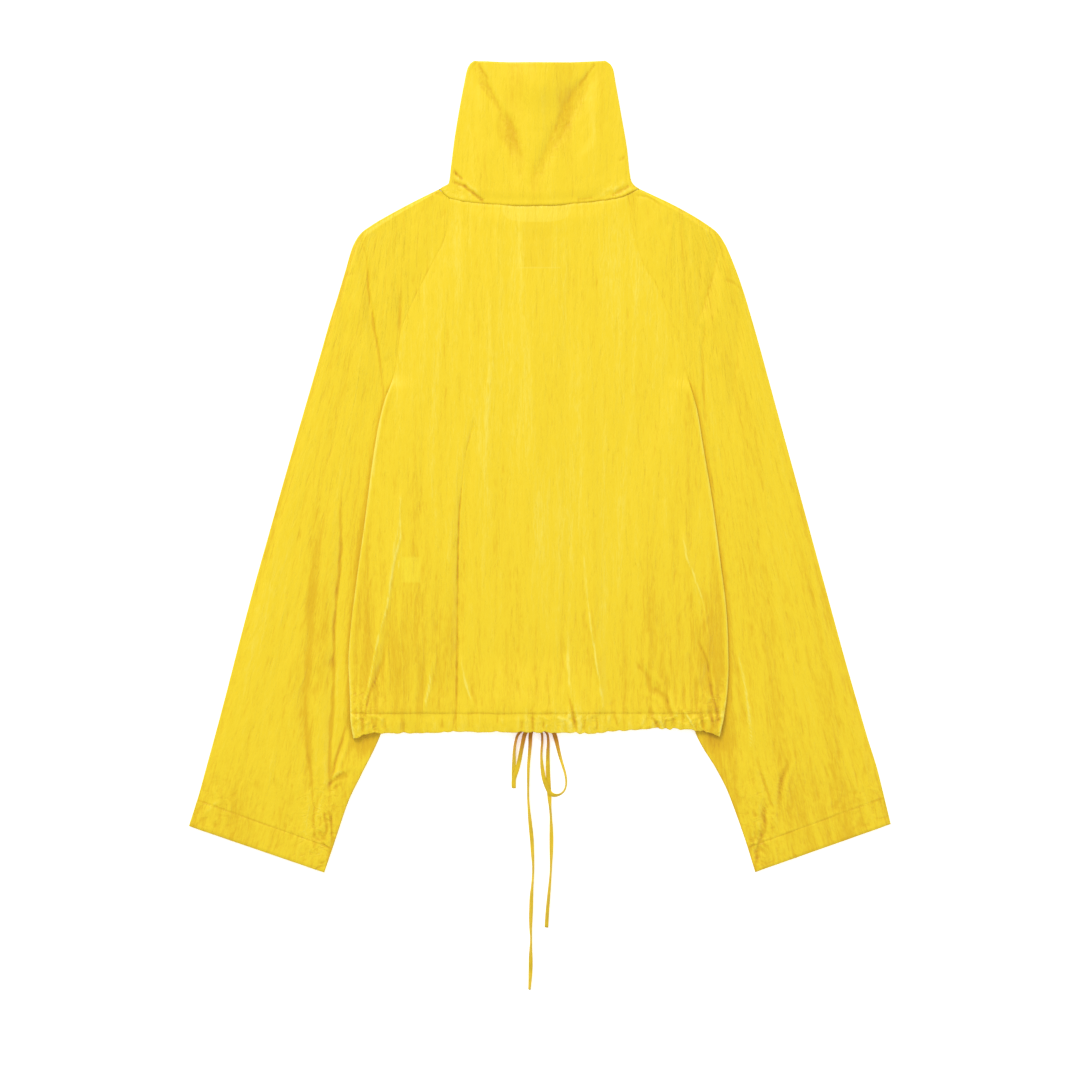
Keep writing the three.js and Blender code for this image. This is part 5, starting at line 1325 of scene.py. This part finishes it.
# Zip teeth, two interlocking rows joined as one mesh
teeth = {
    "pitch": 2.6, "foot": -301, "top": 452, "low": -0.7, "high": 0.8,
    "outline": [
        (2.55, -0.42), (1.0, -0.42), (0.7, -0.62), (-0.3, -0.6), (-0.58, -0.3), (-0.58, 0.3),
        (-0.3, 0.6), (0.7, 0.62), (1.0, 0.42), (2.55, 0.42),
    ],
}


def makeTeeth():
    points, faces = [], []
    outline, count = np.array(teeth["outline"]), len(teeth["outline"])
    for out, shift in ((-1, 0.0), (1, teeth["pitch"] / 2)):
        places = np.arange(teeth["foot"] + shift, teeth["top"], teeth["pitch"])
        for place, level in zip(places, zipLevel(places)):
            first = len(points)
            for high in (teeth["low"], teeth["high"]):
                points += [(out * px * mm, (place + py) * mm, (level + high) * mm) for px, py in outline]
            low, top = list(range(first, first + count)), list(range(first + count, first + 2 * count))
            sides = [(low[k], low[(k + 1) % count], top[(k + 1) % count], top[k]) for k in range(count)]
            made = [tuple(low[::-1]), tuple(top)] + sides
            faces += made if out > 0 else [face[::-1] for face in made]
    return points, faces


teethPoints, teethFaces = makeTeeth()
teethPiece = meshPiece("zipTeeth", teethPoints, teethFaces, finishes["zip"], flat=True)
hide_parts("zip_chain")
print("zip made")


# Stitches, each a small thread laid on the cloth, joined by row
stitch = {"long": 2.1, "pitch": 2.9, "wide": 0.5, "high": 0.28, "tip": 0.35, "steepest": 1.2, "around": 6}


def stitchRow(path, tree, below=False):
    # stitches along a path, seated on the cloth found above or below it
    path = np.array(path, float)
    along = lengthAlong(*path.T)
    facing = -1 if below else 1
    points, faces = [], []
    for start in np.arange(1.0, along[-1] - stitch["long"], stitch["pitch"]):
        ends = []
        for at in (start, start + stitch["long"] / 2, start + stitch["long"]):
            place = np.array([np.interp(at, along, path[:, k]) for k in (0, 1)])
            hit = tree.ray_cast(Vector((*place * mm, 0.1 * facing)), Vector((0, 0, -facing)))[0]
            ends.append((*place, hit.z / mm if hit else np.nan))
        line = np.array(ends)
        if not np.ptp(line[:, 2]) <= stitch["steepest"]:
            continue
        tangent = (line[2] - line[0]) / np.linalg.norm(line[2] - line[0])
        side = np.cross(tangent, (0, 0, 1))
        side /= np.linalg.norm(side)
        up = np.array([0, 0, facing])
        faces += tubeFaces(3, stitch["around"], len(points))
        for place, full in zip(line, (stitch["tip"], 1.0, stitch["tip"])):
            for angle in np.linspace(0, 2 * math.pi, stitch["around"], endpoint=False):
                point = (place + side * math.cos(angle) * stitch["wide"] / 2 * full
                         + up * (math.sin(angle) * stitch["high"] * full + 0.02))
                points.append(tuple(point * mm))
    return points, faces


def joinRows(name, rows):
    points, faces = [], []
    for some, more in rows:
        faces += [tuple(i + len(points) for i in face) for face in more]
        points += some
    return meshPiece(name, points, faces, finishes["thread"])


def cuffPath(side):
    before, last = np.array(sleeveSections[side][-2:])
    path = []
    for t in np.linspace(0.02, 0.985, 24):
        end, inward = mix(last[1:3], last[3:], t), mix(before[1:3], before[3:], t)
        path.append(end + (inward - end) * sleeve["cuffHem"] / np.linalg.norm(inward - end))
    return path


frontSeams, zipSeams, cuffSeams = [], [], []
for side, out in way.items():
    hemPath = [(px, channelY) for px in np.linspace(out * 8, out * 206, 30)]
    zipPath = [(out * 9, py) for py in np.linspace(275, -282, 60)]
    frontSeams.append(stitchRow(hemPath, surfaceTrees["frontCloth_" + side], below=True))
    zipSeams.append(stitchRow(zipPath, surfaceTrees["frontCloth_" + side], below=True))
for below in (False, True):
    cuffSeams += [stitchRow(cuffPath(side), surfaceTrees["sleeveCloth_" + side], below) for side in way]
hemLine = [(px, channelY) for px in np.linspace(-215.5, 209.5, 60)]
joinRows("stitchesBack", [stitchRow(hemLine, surfaceTrees["backCloth"])])
joinRows("stitchesCuffs", cuffSeams)
joinRows("stitchesFront", frontSeams + zipSeams)
print("stitches made")


# Slider and pull keep their solids, with their finish
for node in ("zip_slider", "zip_pull"):
    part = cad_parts[node]
    part.data.materials.clear()
    part.data.materials.append(finishes["metal"])


# Floor and light
studio = {
    "floor": (0.96, 0.96, 0.96), "floorHalf": 16, "floorLevel": -0.0006, "glow": 0.4, "sky": 0.74,
    "lights": [  # name, place, power, size
        ("key", (-2.0, 4.0, 3.6), 212.0, 2.2), ("fill", (6.0, -1.5, 5.0), 90.0, 3.5),
    ],
}


def makeStudio():
    floor = Finish("floor")
    floor.set(Base_Color=studio["floor"], Roughness=0.9, Emission_Color=studio["floor"],
              Emission_Strength=studio["glow"])
    mesh = bpy.data.meshes.new("floor")
    half, level = studio["floorHalf"], studio["floorLevel"]
    corners = [(-half, -half, level), (half, -half, level), (half, half, level), (-half, half, level)]
    mesh.from_pydata(corners, [], [(0, 1, 2, 3)])
    mesh.materials.append(floor.material)
    piece = bpy.data.objects.new("floor", mesh)
    bpy.context.collection.objects.link(piece)
    world = bpy.data.worlds.new("studio")
    world.use_nodes = True
    sky = world.node_tree.nodes["Background"].inputs
    sky["Color"].default_value, sky["Strength"].default_value = (1, 1, 1, 1), studio["sky"]
    bpy.context.scene.world = world
    for name, place, power, size in studio["lights"]:
        lamp = bpy.data.lights.new(name, "AREA")
        lamp.energy, lamp.size = power, size
        lampObject = bpy.data.objects.new(name, lamp)
        lampObject.location = place
        lampObject.rotation_euler = (-Vector(place)).to_track_quat("-Z", "Y").to_euler()
        bpy.context.collection.objects.link(lampObject)
    bpy.context.scene.view_settings.view_transform = "Standard"
    bpy.context.scene.view_settings.look = "None"


makeStudio()
print("studio made")
